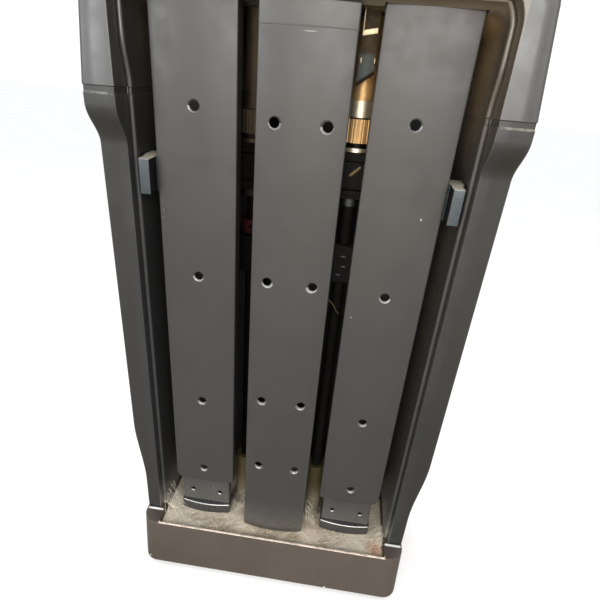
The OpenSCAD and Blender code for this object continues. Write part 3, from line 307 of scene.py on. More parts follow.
def settle(obj):
    """Turns an object's modifiers into its mesh."""
    graph = bpy.context.evaluated_depsgraph_get()
    mesh = bpy.data.meshes.new_from_object(obj.evaluated_get(graph))
    old = obj.data
    obj.modifiers.clear()
    obj.data = mesh
    bpy.data.meshes.remove(old)
    return obj


def mend(obj):
    """Clears what a cut can leave: doubled points, slivers and small holes."""
    bm = bmesh.new()
    bm.from_mesh(obj.data)
    bmesh.ops.remove_doubles(bm, verts=bm.verts, dist=WELD * MM)
    bmesh.ops.dissolve_degenerate(bm, edges=bm.edges, dist=WELD * MM)
    bmesh.ops.holes_fill(bm, edges=[edge for edge in bm.edges if edge.is_boundary], sides=4)
    bm.to_mesh(obj.data)
    bm.free()


def carve(obj, *cutters):
    for cutter in cutters:
        cut = obj.modifiers.new("cut", "BOOLEAN")
        cut.operation = "DIFFERENCE"
        cut.solver = "EXACT"
        cut.object = cutter
    settle(obj)
    mend(obj)
    for cutter in cutters:
        bpy.data.objects.remove(cutter, do_unlink=True)
    return obj


def bevel(obj, width, segments, angle):
    edges = obj.modifiers.new("edges", "BEVEL")
    edges.width = width * MM
    edges.segments = segments
    edges.limit_method = "ANGLE"
    edges.angle_limit = math.radians(angle)
    return edges


def round_edges(obj, width, segments=2, angle=35):
    bevel(obj, width, segments, angle).miter_outer = "MITER_ARC"
    return soften(settle(obj))


def ease_node(obj, width):
    """Rounds a shown CAD node's edges with modifiers, its mesh untouched."""
    obj.modifiers.new("weld", "WELD").merge_threshold = 0.01 * MM
    bevel(obj, width, 2, 40)
    obj.modifiers.new("normals", "WEIGHTED_NORMAL")


def join(obj, *others):
    bm = bmesh.new()
    for part in (obj,) + others:
        bm.from_mesh(part.data)
    bm.to_mesh(obj.data)
    bm.free()
    for part in others:
        bpy.data.objects.remove(part, do_unlink=True)
    return soften(obj)


# Outlines

def arc(cx, cy, r, start, end, count):
    """Points on a circle, from one angle to another in degrees, both ends included."""
    angles = [math.radians(start + (end - start) * i / (count - 1)) for i in range(count)]
    return [(cx + r * math.cos(a), cy + r * math.sin(a)) for a in angles]


def inset(ring, amount):
    """A closed outline drawn in by an amount."""
    turned = sum(a[0] * b[1] - b[0] * a[1] for a, b in zip(ring, ring[1:] + ring[:1]))
    side = 1 if turned > 0 else -1
    drawn = []
    for i, point in enumerate(ring):
        along = Vector(ring[(i + 1) % len(ring)]) - Vector(ring[i - 1])
        normal = Vector((-along.y, along.x)).normalized() * side
        drawn.append(tuple(Vector(point) + normal * amount))
    return drawn


def rounded_rect(half_x, y_low, y_high, front_r, back_r, count=9):
    front_x, back_x = half_x - front_r, half_x - back_r
    corners = ((back_x, y_high - back_r, back_r, 0), (-back_x, y_high - back_r, back_r, 90),
               (-front_x, y_low + front_r, front_r, 180), (front_x, y_low + front_r, front_r, 270))
    return [p for cx, cy, r, a in corners for p in arc(cx, cy, r, a, a + 90, count)]


def steps(low, high, pitch):
    count = max(1, round((high - low) / pitch))
    return [low + (high - low) * i / count for i in range(count + 1)]


def ease(t):
    return (1 - math.cos(math.pi * max(0.0, min(1.0, t)))) / 2


# Casing

def shoulder(z):
    """How far the shoulder has come out at a height, from 0 to 1."""
    return ease((z - SEAM + SHOULDER_LIP + SHOULDER_H) / SHOULDER_H)


def front_y(z):
    """Front of the casing at a height."""
    return CHEEK_FRONT - SHOULDER_STEP * shoulder(z)


def half_w(z):
    """Half-width of the casing at a height."""
    return (CASING_HALF - ANKLE_IN * ease((PLINTH_TOP + ANKLE_RISE + ANKLE_H - z) / ANKLE_H)
            + SHOULDER_FLARE * shoulder(z) - TOP_LEAN * max(0.0, (z - SEAM) / (TOP - SEAM)))


def section(reach, front, lean=0.0, rise=0.0, flat=FLANGE_FLAT):
    """Outline of the casing's wall from the opening outwards: recess wall, bead, flange and outer side.

    lean brings the bead forward, rise lifts it above the recess wall on a sloping lintel, and flat is the
    width of the flange's level strip.
    """
    bead_mid = BEAD_CREST - lean + BEAD_R
    root = bead_mid + BEAD_ROOT
    edge, wall, chamfer = FLANGE_EDGE_R, SHELL_WALL, 1.0
    inner = rise + BEAD_W
    face_in, face_out = inner + edge, reach - FLANGE_OUTER_R
    crease = face_in + min(flat - edge, CREASE_SHARE * (face_out - face_in))
    fall = FLANGE_FALL * min(1.0, (face_out - crease) / FALL_REACH)
    side_y = front + fall + FLANGE_OUTER_R
    skin = [(0, COVER_FRONT), (0, (COVER_FRONT + LINTEL_FOOT) / 2), (0, LINTEL_FOOT),
            (rise / 2, (LINTEL_FOOT + bead_mid) / 2)]
    skin += arc(rise + BEAD_R, bead_mid, BEAD_R, 180, 350, 11)
    skin += [(inner - BEAD_GAP, root), (inner, bead_mid)]
    skin += arc(face_in, front + edge, edge, 180, 270, 6)
    skin += [((face_in + crease) / 2, front), (crease - CREASE_R, front),
             (crease + CREASE_R, front + FALL_AT_CREASE * fall),
             ((crease + face_out) / 2, front + FALL_AT_MIDDLE * fall)]
    skin += arc(face_out, side_y, FLANGE_OUTER_R, 270, 360, 7)
    skin += [(reach, (COVER_FRONT + front) / 2), (reach, COVER_FRONT)]
    lining = [(reach - wall, COVER_FRONT), (reach - wall, side_y + chamfer), (reach - wall - chamfer, side_y),
              (inner + wall, front + fall + wall), (inner + wall, root + wall), (rise + wall, root + wall),
              (wall, LINTEL_FOOT + wall), (wall, COVER_FRONT)]
    return skin + lining


def cheek_rings(side):
    foot, shoulder_high, band = PLINTH_TOP, SEAM - SHOULDER_LIP, SEAM - SEAM_BAND
    shoulder_low = shoulder_high - SHOULDER_H
    ankle_low, ankle_high = foot + ANKLE_RISE, foot + ANKLE_RISE + ANKLE_H
    heights = [foot, foot + FOOT_CHAMFER] + steps(ankle_low, ankle_high, ANKLE_PITCH)
    heights += steps(ankle_high, shoulder_low, CHEEK_PITCH)[1:]
    heights += steps(shoulder_low, shoulder_high, SHOULDER_PITCH)[1:] + [band - SEAM_IN, band, SEAM]
    drawn = {foot: FOOT_CHAMFER, band: SEAM_IN, SEAM: SEAM_IN}
    rings = []
    for z in heights:
        outline = section(half_w(z) - OPENING_HALF, front_y(z))
        outline = inset(outline, drawn[z]) if z in drawn else outline
        rings.append([(side * (OPENING_HALF + d), y, z) for d, y in outline])
    return rings


def lower_cheek(name, side):
    """Cheek with its lock window, the guide wall behind it, the knob's cup and the back cover's bosses."""
    gap, lap, spare, clear = 1.0, 0.4, 0.6, 5.0
    window_x = OPENING_HALF + LOCK_TRAVEL + spare
    neck = lock_low.y + LOCK_HEAD_D
    window = block("window", (side * (OPENING_HALF - clear), neck - gap, lock_low.z - gap),
                   (side * window_x, lock_high.y + gap, lock_high.z + gap))
    guide_x = OPENING_HALF + 2 * SHELL_WALL
    guide = block("guide", (side * (window_x - lap), LINTEL_FOOT, lock_low.z - GUIDE_EDGE),
                  (side * guide_x, lock_high.y + GUIDE_BACK, lock_high.z + GUIDE_EDGE))
    cup_in, cup_out = CUP_X - CUP_WALL, CASING_HALF - CUP_SINK

    def round_x(x, radius, length, segments=CUP_SEGMENTS):
        return pins("round", [(side * x, PIN_Y, PIN_Z)], radius, length, "X", segments)

    cup = round_x((cup_in + cup_out) / 2, CUP_R + CUP_WALL, cup_out - cup_in)
    boss_zs = COVER_SCREW_Z[:3]
    boss_places = [(side * CHEEK_MID, COVER_FRONT - BOSS_IN, z) for z in boss_zs]
    bosses = pins("bosses", boss_places, BOSS_R, BOSS_L, "Y", 24)
    ribs = [block("rib", (side * (CHEEK_MID + RIB_IN), COVER_FRONT - RIB_D, z - RIB_T / 2),
                  (side * (half_w(z) - SHELL_WALL / 2), COVER_FRONT - RIB_GAP, z + RIB_T / 2))
            for z in boss_zs]
    skin = carve(loft(name, cheek_rings(side)), window)
    mouth_cut, cup_cut, bore_cut, bore_segments = 20.0, 40.0, 30.0, 40
    carve(skin, round_x(CASING_HALF, CUP_R, mouth_cut))
    carve(cup, round_x(CUP_X + cup_cut / 2, CUP_R, cup_cut))
    carve(cup, round_x(CUP_X, PIN_BORE_R, bore_cut, bore_segments))
    carve(guide, round_x(OPENING_HALF + SHELL_WALL, PIN_BORE_R, bore_cut, bore_segments))
    return join(skin, guide, cup, bosses, *ribs)


def shell_stations():
    """Inner and outer point, lean and rise of each section of the upper shell, from one foot to the other."""
    inner_z, outer_z = HEAD - CORNER_R, TOP - OUTER_CORNER_R
    corner_x = OPENING_HALF - CORNER_R
    outer_x = half_w(outer_z) - OUTER_CORNER_R
    count, turn_count = 10, 13
    side = [(SEAM, SEAM), (SEAM + SEAM_CHAMFER, SEAM + SEAM_CHAMFER)]
    side += [(SEAM + (inner_z - SEAM) * i / count, SEAM + (outer_z - SEAM) * i / count)
             for i in range(1, count)]
    right = [((OPENING_HALF, zi), (half_w(zo), zo), BEAD_LEAN * ease((zi - SEAM) / BEAD_LEAN_H), 0.0)
             for zi, zo in side]
    turns = zip(arc(corner_x, inner_z, CORNER_R, 0, 90, turn_count),
                arc(outer_x, outer_z, OUTER_CORNER_R, 0, 90, turn_count))
    right += [(inner, outer, BEAD_LEAN, LINTEL_RISE * (i / (turn_count - 1)) ** 2)
              for i, (inner, outer) in enumerate(turns)]
    head = [((corner_x * t, HEAD), (outer_x * t, TOP), BEAD_LEAN, LINTEL_RISE)
            for t in (0.6, 0.2, -0.2, -0.6)]
    left = [((-xi, zi), (-xo, zo), lean, rise) for (xi, zi), (xo, zo), lean, rise in reversed(right)]
    return right + head + left


def upper_shell():
    rings = []
    stations = shell_stations()
    for i, (inner, outer, lean, rise) in enumerate(stations):
        inner, outer = Vector(inner), Vector(outer)
        out = (outer - inner).normalized()
        outline = section((outer - inner).length, shell_low.y, lean, rise, UPPER_FLAT)
        if i in (0, len(stations) - 1):
            outline = inset(outline, SEAM_CHAMFER)
        rings.append([(inner.x + out.x * d, y, inner.y + out.y * d) for d, y in outline])
    shell = loft("casing_upper_shell", rings)
    gap, clear = 1.0, 6.0
    slots = [block("slot", (side * (sleeve_low.x - gap), sleeve_low.y - gap, HEAD - clear),
                   (side * (sleeve_high.x + gap), sleeve_high.y + gap, TOP + clear)) for side in SIDES]
    bush_places = [(side * TUBE_X, TUBE_Y, (HEAD + TOP) / 2) for side in SIDES]
    bushes = pins("bushes", bush_places, BUSH_R, BUSH_CUT, "Z")
    return soften(carve(shell, *slots, bushes))


def plinth():
    """Hollow plinth with drafted sides, rounded corners and a rimmed place for the tray."""
    loops = []

    def loop(half_x, y_low, y_high, front_r, back_r, z):
        loops.append([(x, y, z) for x, y in rounded_rect(half_x, y_low, y_high, front_r, back_r)])

    def outer_loop(z, drawn=0.0):
        draft = PLINTH_DRAFT * (z - plinth_low.z) / (PLINTH_TOP - plinth_low.z)
        hx, hy = plinth_high.x - draft, plinth_high.y - draft
        loop(hx - drawn, -hy + drawn, hy - drawn, PLINTH_CORNER_R - drawn, PLINTH_BACK_R - drawn, z)

    edge, chamfer, turn_count = PLINTH_EDGE_R, PLINTH_CHAMFER, 5
    outer_loop(plinth_low.z, chamfer)
    for z in (plinth_low.z + chamfer, plinth_low.z + PLINTH_RING, PLINTH_TOP - edge):
        outer_loop(z)
    for step in range(1, turn_count + 1):
        turn = math.radians(90 / turn_count * step)
        outer_loop(PLINTH_TOP - edge + edge * math.sin(turn), edge * (1 - math.cos(turn)))
    hx, y0, y1 = tray_high.x + TRAY_GAP, tray_low.y - TRAY_GAP, tray_high.y + TRAY_GAP
    rim_r = TRAY_R + chamfer
    loop(hx + chamfer, y0 - chamfer, y1 + chamfer, rim_r, rim_r, PLINTH_TOP)
    for z in (PLINTH_TOP - chamfer, tray_low.z):
        loop(hx, y0, y1, TRAY_R, TRAY_R, z)
    for z in (tray_low.z, tray_low.z - LEDGE_T):
        loop(hx - LEDGE_W, y0 + LEDGE_W, y1 - LEDGE_W, TRAY_R, TRAY_R, z)
    for z in (tray_low.z - LEDGE_T, plinth_low.z):
        outer_loop(z, PLINTH_WALL)
    return loft("plinth_shell", loops, cyclic=True)


def foot_ridge(name, side):
    """Half-round ridge on the plinth in front of a cheek's foot."""
    x0, x1 = OPENING_HALF, plinth_high.x - PLINTH_DRAFT - RIDGE_END
    y = CHEEK_FRONT - RIDGE_R - RIDGE_GAP
    ends = ((0.0, 0.35), (0.6, 0.72), (1.8, 0.93), (4.0, 1.0))
    stations = [(x0 + d, k) for d, k in ends] + [(x1 - d, k) for d, k in reversed(ends)]
    return loft(name, [[(side * x, py, pz) for py, pz in arc(y, PLINTH_TOP, RIDGE_R * k, 0, 345, 24)]
                       for x, k in stations])


def cover_form():
    """Back cover with rounded top corners, vents and screw holes."""
    low, high = span("back_cover")
    turn_z = TOP - OUTER_CORNER_R
    right = [(half_w(z), z) for z in steps(low.z, turn_z, COVER_PITCH)]
    right += arc(half_w(turn_z) - OUTER_CORNER_R, turn_z, OUTER_CORNER_R, 0, 90, 10)[1:]
    outline = right + [(-x, z) for x, z in reversed(right)]
    levels = ((low.y, 0.0), (high.y - 1, 0.0), (high.y - 0.3, 0.3), (high.y, 1.0), (high.y, 3.0))
    rings = [[(x, y, z) for x, z in inset(outline, drawn)] for y, drawn in levels]
    vent_zs = [z + VENT_PITCH * i for z in VENT_Z for i in range(VENT_COUNT)]
    vents = [block("vent", (-VENT_L / 2, low.y - 1, z), (VENT_L / 2, high.y + 1, z + VENT_H))
             for z in vent_zs]
    screws = [(side * CHEEK_MID, high.y, z) for z in COVER_SCREW_Z for side in SIDES]
    holes = pins("holes", screws, COVER_SCREW_R, 20, "Y", 20)
    return soften(carve(loft("back_cover_form", rings), join(*vents), holes))


def vent_mesh(name, z_low):
    """Dark mesh plate with a rolled edge behind a group of the back cover's vents, standing in for the shade
    behind them.
    """
    half_h, y = MESH_H / 2, COVER_FRONT
    rings = []
    for py, drawn in ((y - 4.0, 1.5), (y - 3.0, 0.4), (y - 1.0, 0.0), (y - 0.2, 0.6)):
        outline = rounded_rect(MESH_HALF - drawn, drawn - half_h, half_h - drawn, MESH_R, MESH_R)
        rings.append([(px, py, z_low + half_h + pz) for px, pz in outline])
    return loft(name, rings)


# Bars

def crown_radius(half, crown):
    return (half * half + crown * crown) / (2 * crown)


def crowned(width, crown, edge, drawn=0.0):
    """Front half of a crowned bar's outline, right to left, crest at the origin and depth along +Y."""
    radius = crown_radius(width / 2, crown)
    half, r, edge = width / 2 - drawn, radius - drawn, max(1.0, edge - drawn)
    edge_x = half - edge
    edge_y = radius - math.sqrt((r - edge) ** 2 - edge_x ** 2)
    lean = math.degrees(math.atan2(edge_x, radius - edge_y))
    front = arc(0, radius, r, -90 + lean, -90 - lean, 25)
    right = arc(edge_x, edge_y, edge, 0, -90 + lean, 8)[:-1]
    left = arc(-edge_x, edge_y, edge, -90 - lean, -180, 8)[1:]
    return right + front + left


def channel(width, depth, crown):
    """Closed outline of a bar that is hollow and open between two lips at the back."""
    half, back_r = width / 2, BAR_BACK_R
    skin = [(half - LIP_W, depth)] + arc(half - back_r, depth - back_r, back_r, 90, 0, 5)
    skin += crowned(width, crown, BAR_EDGE_R)
    skin += arc(-half + back_r, depth - back_r, back_r, 180, 90, 5) + [(-half + LIP_W, depth)]
    inner = depth - BAR_WALL
    lining = [(half - LIP_W, inner), (half - BAR_WALL, inner)]
    lining += crowned(width, crown, BAR_EDGE_R, BAR_WALL)
    lining += [(-half + BAR_WALL, inner), (-half + LIP_W, inner)]
    return skin + lining[::-1]


def corner_waste(edge, side, z_low, r, y_low, y_high):
    """What a bar's rounded lower corner leaves out, at the edge on one side."""
    clear = 2.0
    curve = arc(edge - side * r, z_low + r, r, -90, 0 if side > 0 else -180, 10)
    outline = [(edge + side * clear, z_low - clear), (edge - side * r, z_low - clear)] + curve
    outline.append((edge + side * clear, z_low + r))
    return slab("corner", outline, (y_low - clear, y_high + clear))


def bar(name, x, low, high, crown, holes, end_r):
    """Crowned channel the size of a CAD node, its middle at x, with countersunk holes given by X and Z.

    end_r holds the lower corners' radii, left and right.
    """
    front, depth, half = low.y, high.y - low.y, (high.x - low.x) / 2
    outline = channel(high.x - low.x, depth, crown)
    heights = {low.z + BAR_RING, high.z}
    for _, hz in holes:
        heights.update((hz - HOLE_FIELD, hz + HOLE_FIELD))
    turn = 0.3 * BAR_END_R
    levels = [(low.z, BAR_END_R), (low.z + turn, turn), (low.z + BAR_END_R, 0.0)]
    levels += [(z, 0.0) for z in sorted(heights)]
    shape = loft(name, [[(x + px, front + py, z) for px, py in inset(outline, drawn)] for z, drawn in levels])
    corners = [corner_waste(x + side * half, side, low.z, r, front, high.y) for side, r in zip(SIDES, end_r)]
    carve(shape, *corners)
    radius = crown_radius(half, crown)
    mouths = [(hx, front + radius - math.sqrt(radius ** 2 - (hx - x) ** 2), hz) for hx, hz in holes]
    carve(shape, pins("holes", [(hx, hy + HOLE_IN, hz) for hx, hy, hz in mouths], HOLE_R, HOLE_CUT, "Y"))
    rims = [(hx, hy + (HOLE_SINK - HOLE_LEAD) / 2, hz) for hx, hy, hz in mouths]
    reach = HOLE_SINK + HOLE_LEAD
    return soften(carve(shape, pins("rims", rims, HOLE_R, reach, "Y", 40, HOLE_R + reach)))


def crowned_block(name, x, low, high, z_low, z_high, crown, edge):
    """Solid crowned block as wide and deep as a CAD node, its middle at x."""
    width, depth, ring_gap = high.x - low.x, high.y - low.y, 2.0
    outline = crowned(width, crown, edge) + [(-width / 2, depth), (width / 2, depth)]
    heights = (z_low, z_low + ring_gap, z_high - ring_gap, z_high)
    return loft(name, [[(x + px, low.y + py, z) for px, py in outline] for z in heights])


def post_form(name, x):
    """Rectangular tube with two countersunk holes and a few punch marks near its foot."""
    outline = rounded_rect(POST_HALF, post_low.y, post_high.y, POST_EDGE_R, POST_EDGE_R, 5)
    heights = (post_low.z, post_low.z + POST_RING, POST_SHADE_Z, post_high.z)
    shape = loft(name, [[(x + px, py, z) for px, py in outline] for z in heights])
    wall, clear = POST_WALL, 5.0
    carve(shape, block("hollow", (x - POST_HALF + wall, post_low.y + wall, post_low.z - clear),
                       (x + POST_HALF - wall, post_high.y - wall, post_high.z + clear)))
    holes = [(x + side * POST_HOLE_X, post_low.y, post_low.z + POST_HOLE_Z) for side in SIDES]
    carve(shape, pins("holes", holes, POST_HOLE_R, 4 * wall, "Y", 28))
    lead = POST_RIM + POST_LEAD
    rims = [(hx, hy + POST_RIM - lead / 2, hz) for hx, hy, hz in holes]
    carve(shape, pins("rims", rims, POST_HOLE_R, lead, "Y", 28, POST_HOLE_R + lead))
    marks = [(x + dx, post_low.y, post_low.z + dz) for dx, dz in PUNCH_MARKS]
    return soften(carve(shape, pins("marks", marks, PUNCH_R, PUNCH_L, "Y", 12)))


def shoe_form(name, x):
    """Post's foot with a crowned front and rounded edges, bored for its bolts, and its spigot."""
    shoe = crowned_block(name, x, shoe_low, shoe_high, TRAY_TOP, post_low.z, SHOE_CROWN, SHOE_EDGE_R)
    round_edges(shoe, SHOE_ROUND, 5, 40)
    bolt_x, mid_y = (shoe_high.x - shoe_low.x) / 4, (shoe_low.y + shoe_high.y) / 2
    bolts = [(x + side * bolt_x, mid_y, TRAY_TOP + 2) for side in SIDES]
    carve(shoe, pins("bolts", bolts, SHOE_BOLT_R, SHOE_BOLT_L, "Z", 24))
    gap = POST_WALL + SPIGOT_GAP
    spigot = block("spigot", (x - POST_HALF + gap, post_low.y + gap, post_low.z - SPIGOT_LAP),
                   (x + POST_HALF - gap, post_high.y - gap, shoe_high.z))
    return join(shoe, spigot)


# Locks

def lock_form(name, side):
    """Lock block with its narrow head, wider body and rising top, all edges rounded."""
    x0, x1, y0, y1 = lock_low.x, lock_high.x, lock_low.y, lock_high.y
    head_x0, head_x1 = x0 + LOCK_SIDE, x1 - LOCK_SIDE
    neck, body = y0 + LOCK_HEAD_D, y0 + LOCK_HEAD_D + LOCK_SIDE
    plan = [(head_x0, y0), (head_x1, y0), (head_x1, neck), (x1, body), (x1, y1), (x0, y1), (x0, body),
            (head_x0, neck)]
    slope = LOCK_RISE / (y1 - y0)
    rings = [[(side * x, y, lock_low.z) for x, y in plan],
             [(side * x, y, lock_high.z - slope * (y1 - y)) for x, y in plan]]
    shape = round_edges(loft(name, rings), LOCK_ROUND, 4, 30)
    bore = pins("bore", [(side * (x1 - LOCK_BORE_IN), PIN_Y, PIN_Z)], LOCK_BORE_R, LOCK_BORE_L, "X")
    return soften(carve(shape, bore))


def lock_spring(name, side):
    """Coil between a lock pin's collar and the knob's cup."""
    low, high = span("right_lock_spring")
    wire = SPRING_WIRE / 2
    coil = (high.y - low.y) / 2 - wire
    _, mid_y, mid_z = middle("right_lock_spring")
    count = 24 * SPRING_TURNS
    rings = []
    for i in range(count + 1):
        turn = math.tau * SPRING_TURNS * i / count
        x = low.x + wire + (high.x - low.x - 2 * wire) * i / count
        cos, sin = math.cos(turn), math.sin(turn)
        rings.append([(side * (x + px), mid_y + (coil + pr) * cos, mid_z + (coil + pr) * sin)
                      for px, pr in arc(0, 0, wire, 0, 330, 12)])
    return loft(name, rings)


# Trim in the right-hand gap

def head_strap():
    """Thin strap that hangs from the head, its lower end cut askew."""
    (x0, x1), (low, high), top = STRAP_X, STRAP_FOOT, HEAD + 0.4
    back = column_high.y
    strap = slab("head_strap", [(x0, low), (x1, high), (x1, top), (x0, top)], (back - STRAP_T, back))
    return round_edges(strap, 0.3)


def strap_tab():
    """Brass tab on the strap, a little askew, with the wire that it hangs by."""
    x0, x1 = STRAP_X
    front, tilt, half_h = column_high.y - STRAP_T, 0.19, 2.7
    corners = ((x0 + 0.5, -half_h), (x1 - 1, -half_h), (x1 - 1, half_h), (x0 + 0.5, half_h))
    outline = [(x, STRAP_TAB_Z + tilt * (x - x0 - 8) + dz) for x, dz in corners]
    tab = round_edges(slab("strap_tab", outline, (front - 2.0, front)), 0.6, 3)
    wire = pins("wire", [(x0 + 1.2, front - 0.7, (STRAP_TAB_Z + HEAD) / 2)], 0.6, HEAD - STRAP_TAB_Z, "Z", 12)
    return join(tab, wire)


def strap_studs():
    """Two narrow upright clips on the strap."""
    front, half_x, half_h = column_high.y - STRAP_T, 0.8, 2.6
    clips = [block("clip", (x - half_x, front - 1.8, STRAP_STUD_Z - half_h),
                   (x + half_x, front + 0.1, STRAP_STUD_Z + half_h)) for x in STRAP_STUD_X]
    return round_edges(join(*clips), 0.6, 3)


def yoke_peg():
    """Brass peg that leans across the yoke's front."""
    start, along = PEG_ENDS[0], PEG_ENDS[1] - PEG_ENDS[0]
    lift = Vector((0, 1, 0))
    side = along.cross(lift).normalized()
    stations = ((0.0, 0.55), (0.03, 0.9), (0.10, 1.0), (0.90, 1.0), (0.97, 0.9), (1.0, 0.55))
    return loft("yoke_peg", [[start + along * t + (side * px + lift * py) * PEG_R * k
                              for px, py in arc(0, 0, 1, 0, 337.5, 16)] for t, k in stations])


def strands(name, paths, radius):
    """Thin threads along paths of points in millimetres."""
    data = bpy.data.curves.new(name, "CURVE")
    data.dimensions = "3D"
    data.bevel_depth = radius * MM
    data.bevel_resolution = 1
    data.use_fill_caps = True
    for path in paths:
        spline = data.splines.new("POLY")
        spline.points.add(len(path) - 1)
        for point, place in zip(spline.points, path):
            point.co = (*(Vector(place) * MM), 1)
    return link(bpy.data.objects.new(name, data))


# Dust that has settled on the tray

DUST_EDGE = 0.4
DUST_RIM = 0.02
DUST_PITCH = 2.2
FIBRE_R = 0.14
WEB_R = 0.13
THREAD_STEPS = 5
FIBRE_COUNT, CRUMB_COUNT, WEB_COUNT = 220, 220, 60
# Corners where fluff hangs: its foot's X and Y on the tray, the X that it climbs towards, and its height
WEB_CORNERS = (((-184, -150), (-78, -40), -188.0, 42.0), ((-76, -53), (-58, -20), -52.0, 34.0),
               ((53, 76), (-58, -20), 52.0, 40.0), ((165, 185), (-76, -45), 188.0, 26.0))


def dust_height(x, y):
    """Thickness of the dust at a place on the tray, deeper along the walls and in the front corners."""
    wall = min(x - tray_low.x, tray_high.x - x, y - tray_low.y, tray_high.y - y)
    drift = 1.4 * math.exp(-max(0.0, wall) / 9.0)
    patch = noise.noise(Vector((x / 38, y / 22, 3.1))) + 0.5 * noise.noise(Vector((x / 11, y / 9, 8.4)))
    fluff = 0.35 * noise.noise(Vector((x / 2.6, y / 2.6, 1.7)))
    return max(0.08, 0.55 + drift + 0.45 * patch + fluff)


def tray_dust():
    xs = steps(tray_low.x + DUST_EDGE, tray_high.x - DUST_EDGE, DUST_PITCH)
    ys = steps(tray_low.y + DUST_EDGE, tray_high.y - DUST_EDGE, DUST_PITCH)
    bm = bmesh.new()
    grid = []
    for y in ys:
        row = []
        for x in xs:
            rim = x in (xs[0], xs[-1]) or y in (ys[0], ys[-1])
            height = DUST_RIM if rim else dust_height(x, y)
            row.append(bm.verts.new(Vector((x, y, TRAY_TOP + height)) * MM))
        grid.append(row)
    for low, high in zip(grid, grid[1:]):
        for i in range(len(low) - 1):
            bm.faces.new((low[i], low[i + 1], high[i + 1], high[i]))
    border = grid[0] + [row[-1] for row in grid[1:]] + grid[-1][-2::-1] + [row[0] for row in grid[-2:0:-1]]
    under = [bm.verts.new((*vert.co.xy, TRAY_TOP * MM)) for vert in border]
    for i in range(len(border)):
        bm.faces.new((border[i - 1], border[i], under[i], under[i - 1]))
    bm.faces.new(under)
    return add_mesh("tray_dust", bm)


def on_tray():
    """A place on the tray, more often near the front where litter gathers."""
    x = rng.uniform(tray_low.x + 6, tray_high.x - 6)
    y = tray_low.y + 3 + (tray_high.y - tray_low.y - 30) * rng.random() ** 2.2
    return x, y


def tray_fibres(count):
    """Loose hairs and fibres lying on the dust."""
    edge = 2.0
    paths = []
    for _ in range(count):
        x, y = on_tray()
        heading = rng.uniform(0, math.tau)
        length = rng.uniform(8, 30)
        bend = rng.uniform(-0.5, 0.5)
        path = []
        for _ in range(THREAD_STEPS + 1):
            px = min(max(x, tray_low.x + edge), tray_high.x - edge)
            py = min(max(y, tray_low.y + edge), tray_high.y - edge)
            path.append((px, py, TRAY_TOP + dust_height(px, py) + rng.uniform(0.0, 0.5)))
            heading += bend * rng.uniform(0.2, 1.0)
            x += length / THREAD_STEPS * math.cos(heading)
            y += length / THREAD_STEPS * math.sin(heading)
        paths.append(path)
    return strands("tray_fibres", paths, FIBRE_R)


def tray_webs(count):
    """Wisps of fluff that climb from the tray up the pieces beside it."""
    paths = []
    for (x0, x1), (y0, y1), wall, height in WEB_CORNERS:
        for _ in range(count):
            x, y = rng.uniform(x0, x1), rng.uniform(y0, y1)
            rise = height * rng.random() ** 1.8
            back = rng.uniform(0, 14)
            sway = rng.uniform(-3, 3)
            path = []
            for i in range(THREAD_STEPS + 1):
                t = i / THREAD_STEPS
                path.append((x + (wall - x) * t * t * 0.9 + sway * math.sin(math.pi * t), y + back * t,
                             TRAY_TOP + 0.3 + rise * t * (1.3 - 0.3 * t)))
            paths.append(path)
    return strands("tray_webs", paths, WEB_R)


def tray_crumbs(count):
    """Grit and flakes among the dust."""
    bm = bmesh.new()
    for _ in range(count):
        x, y = on_tray()
        size = rng.uniform(0.4, 1.5) * MM
        place = Matrix.Translation(Vector((x, y, TRAY_TOP + dust_height(x, y))) * MM)
        flat = Matrix.Diagonal((rng.uniform(0.7, 1.4), rng.uniform(0.5, 1.0), rng.uniform(0.3, 0.7), 1))
        turn = Matrix.Rotation(rng.uniform(0, math.tau), 4, "Z")
        made = bmesh.ops.create_icosphere(bm, subdivisions=1, radius=size, matrix=place @ turn @ flat)
        for vert in made["verts"]:
            vert.co += Vector((rng.uniform(-1, 1), rng.uniform(-1, 1), rng.uniform(-1, 1))) * size * 0.18
    return add_mesh("tray_crumbs", bm)


# Materials

# Heights that dust clings to above the tray, on the bars and on the casing; on the bars the pale skirt also
# paints in the reflection of the dusty tray
SKIRT_H = 75.0
CLING_H = 80.0


def shade(colour, factor):
    return tuple(c * factor for c in colour)


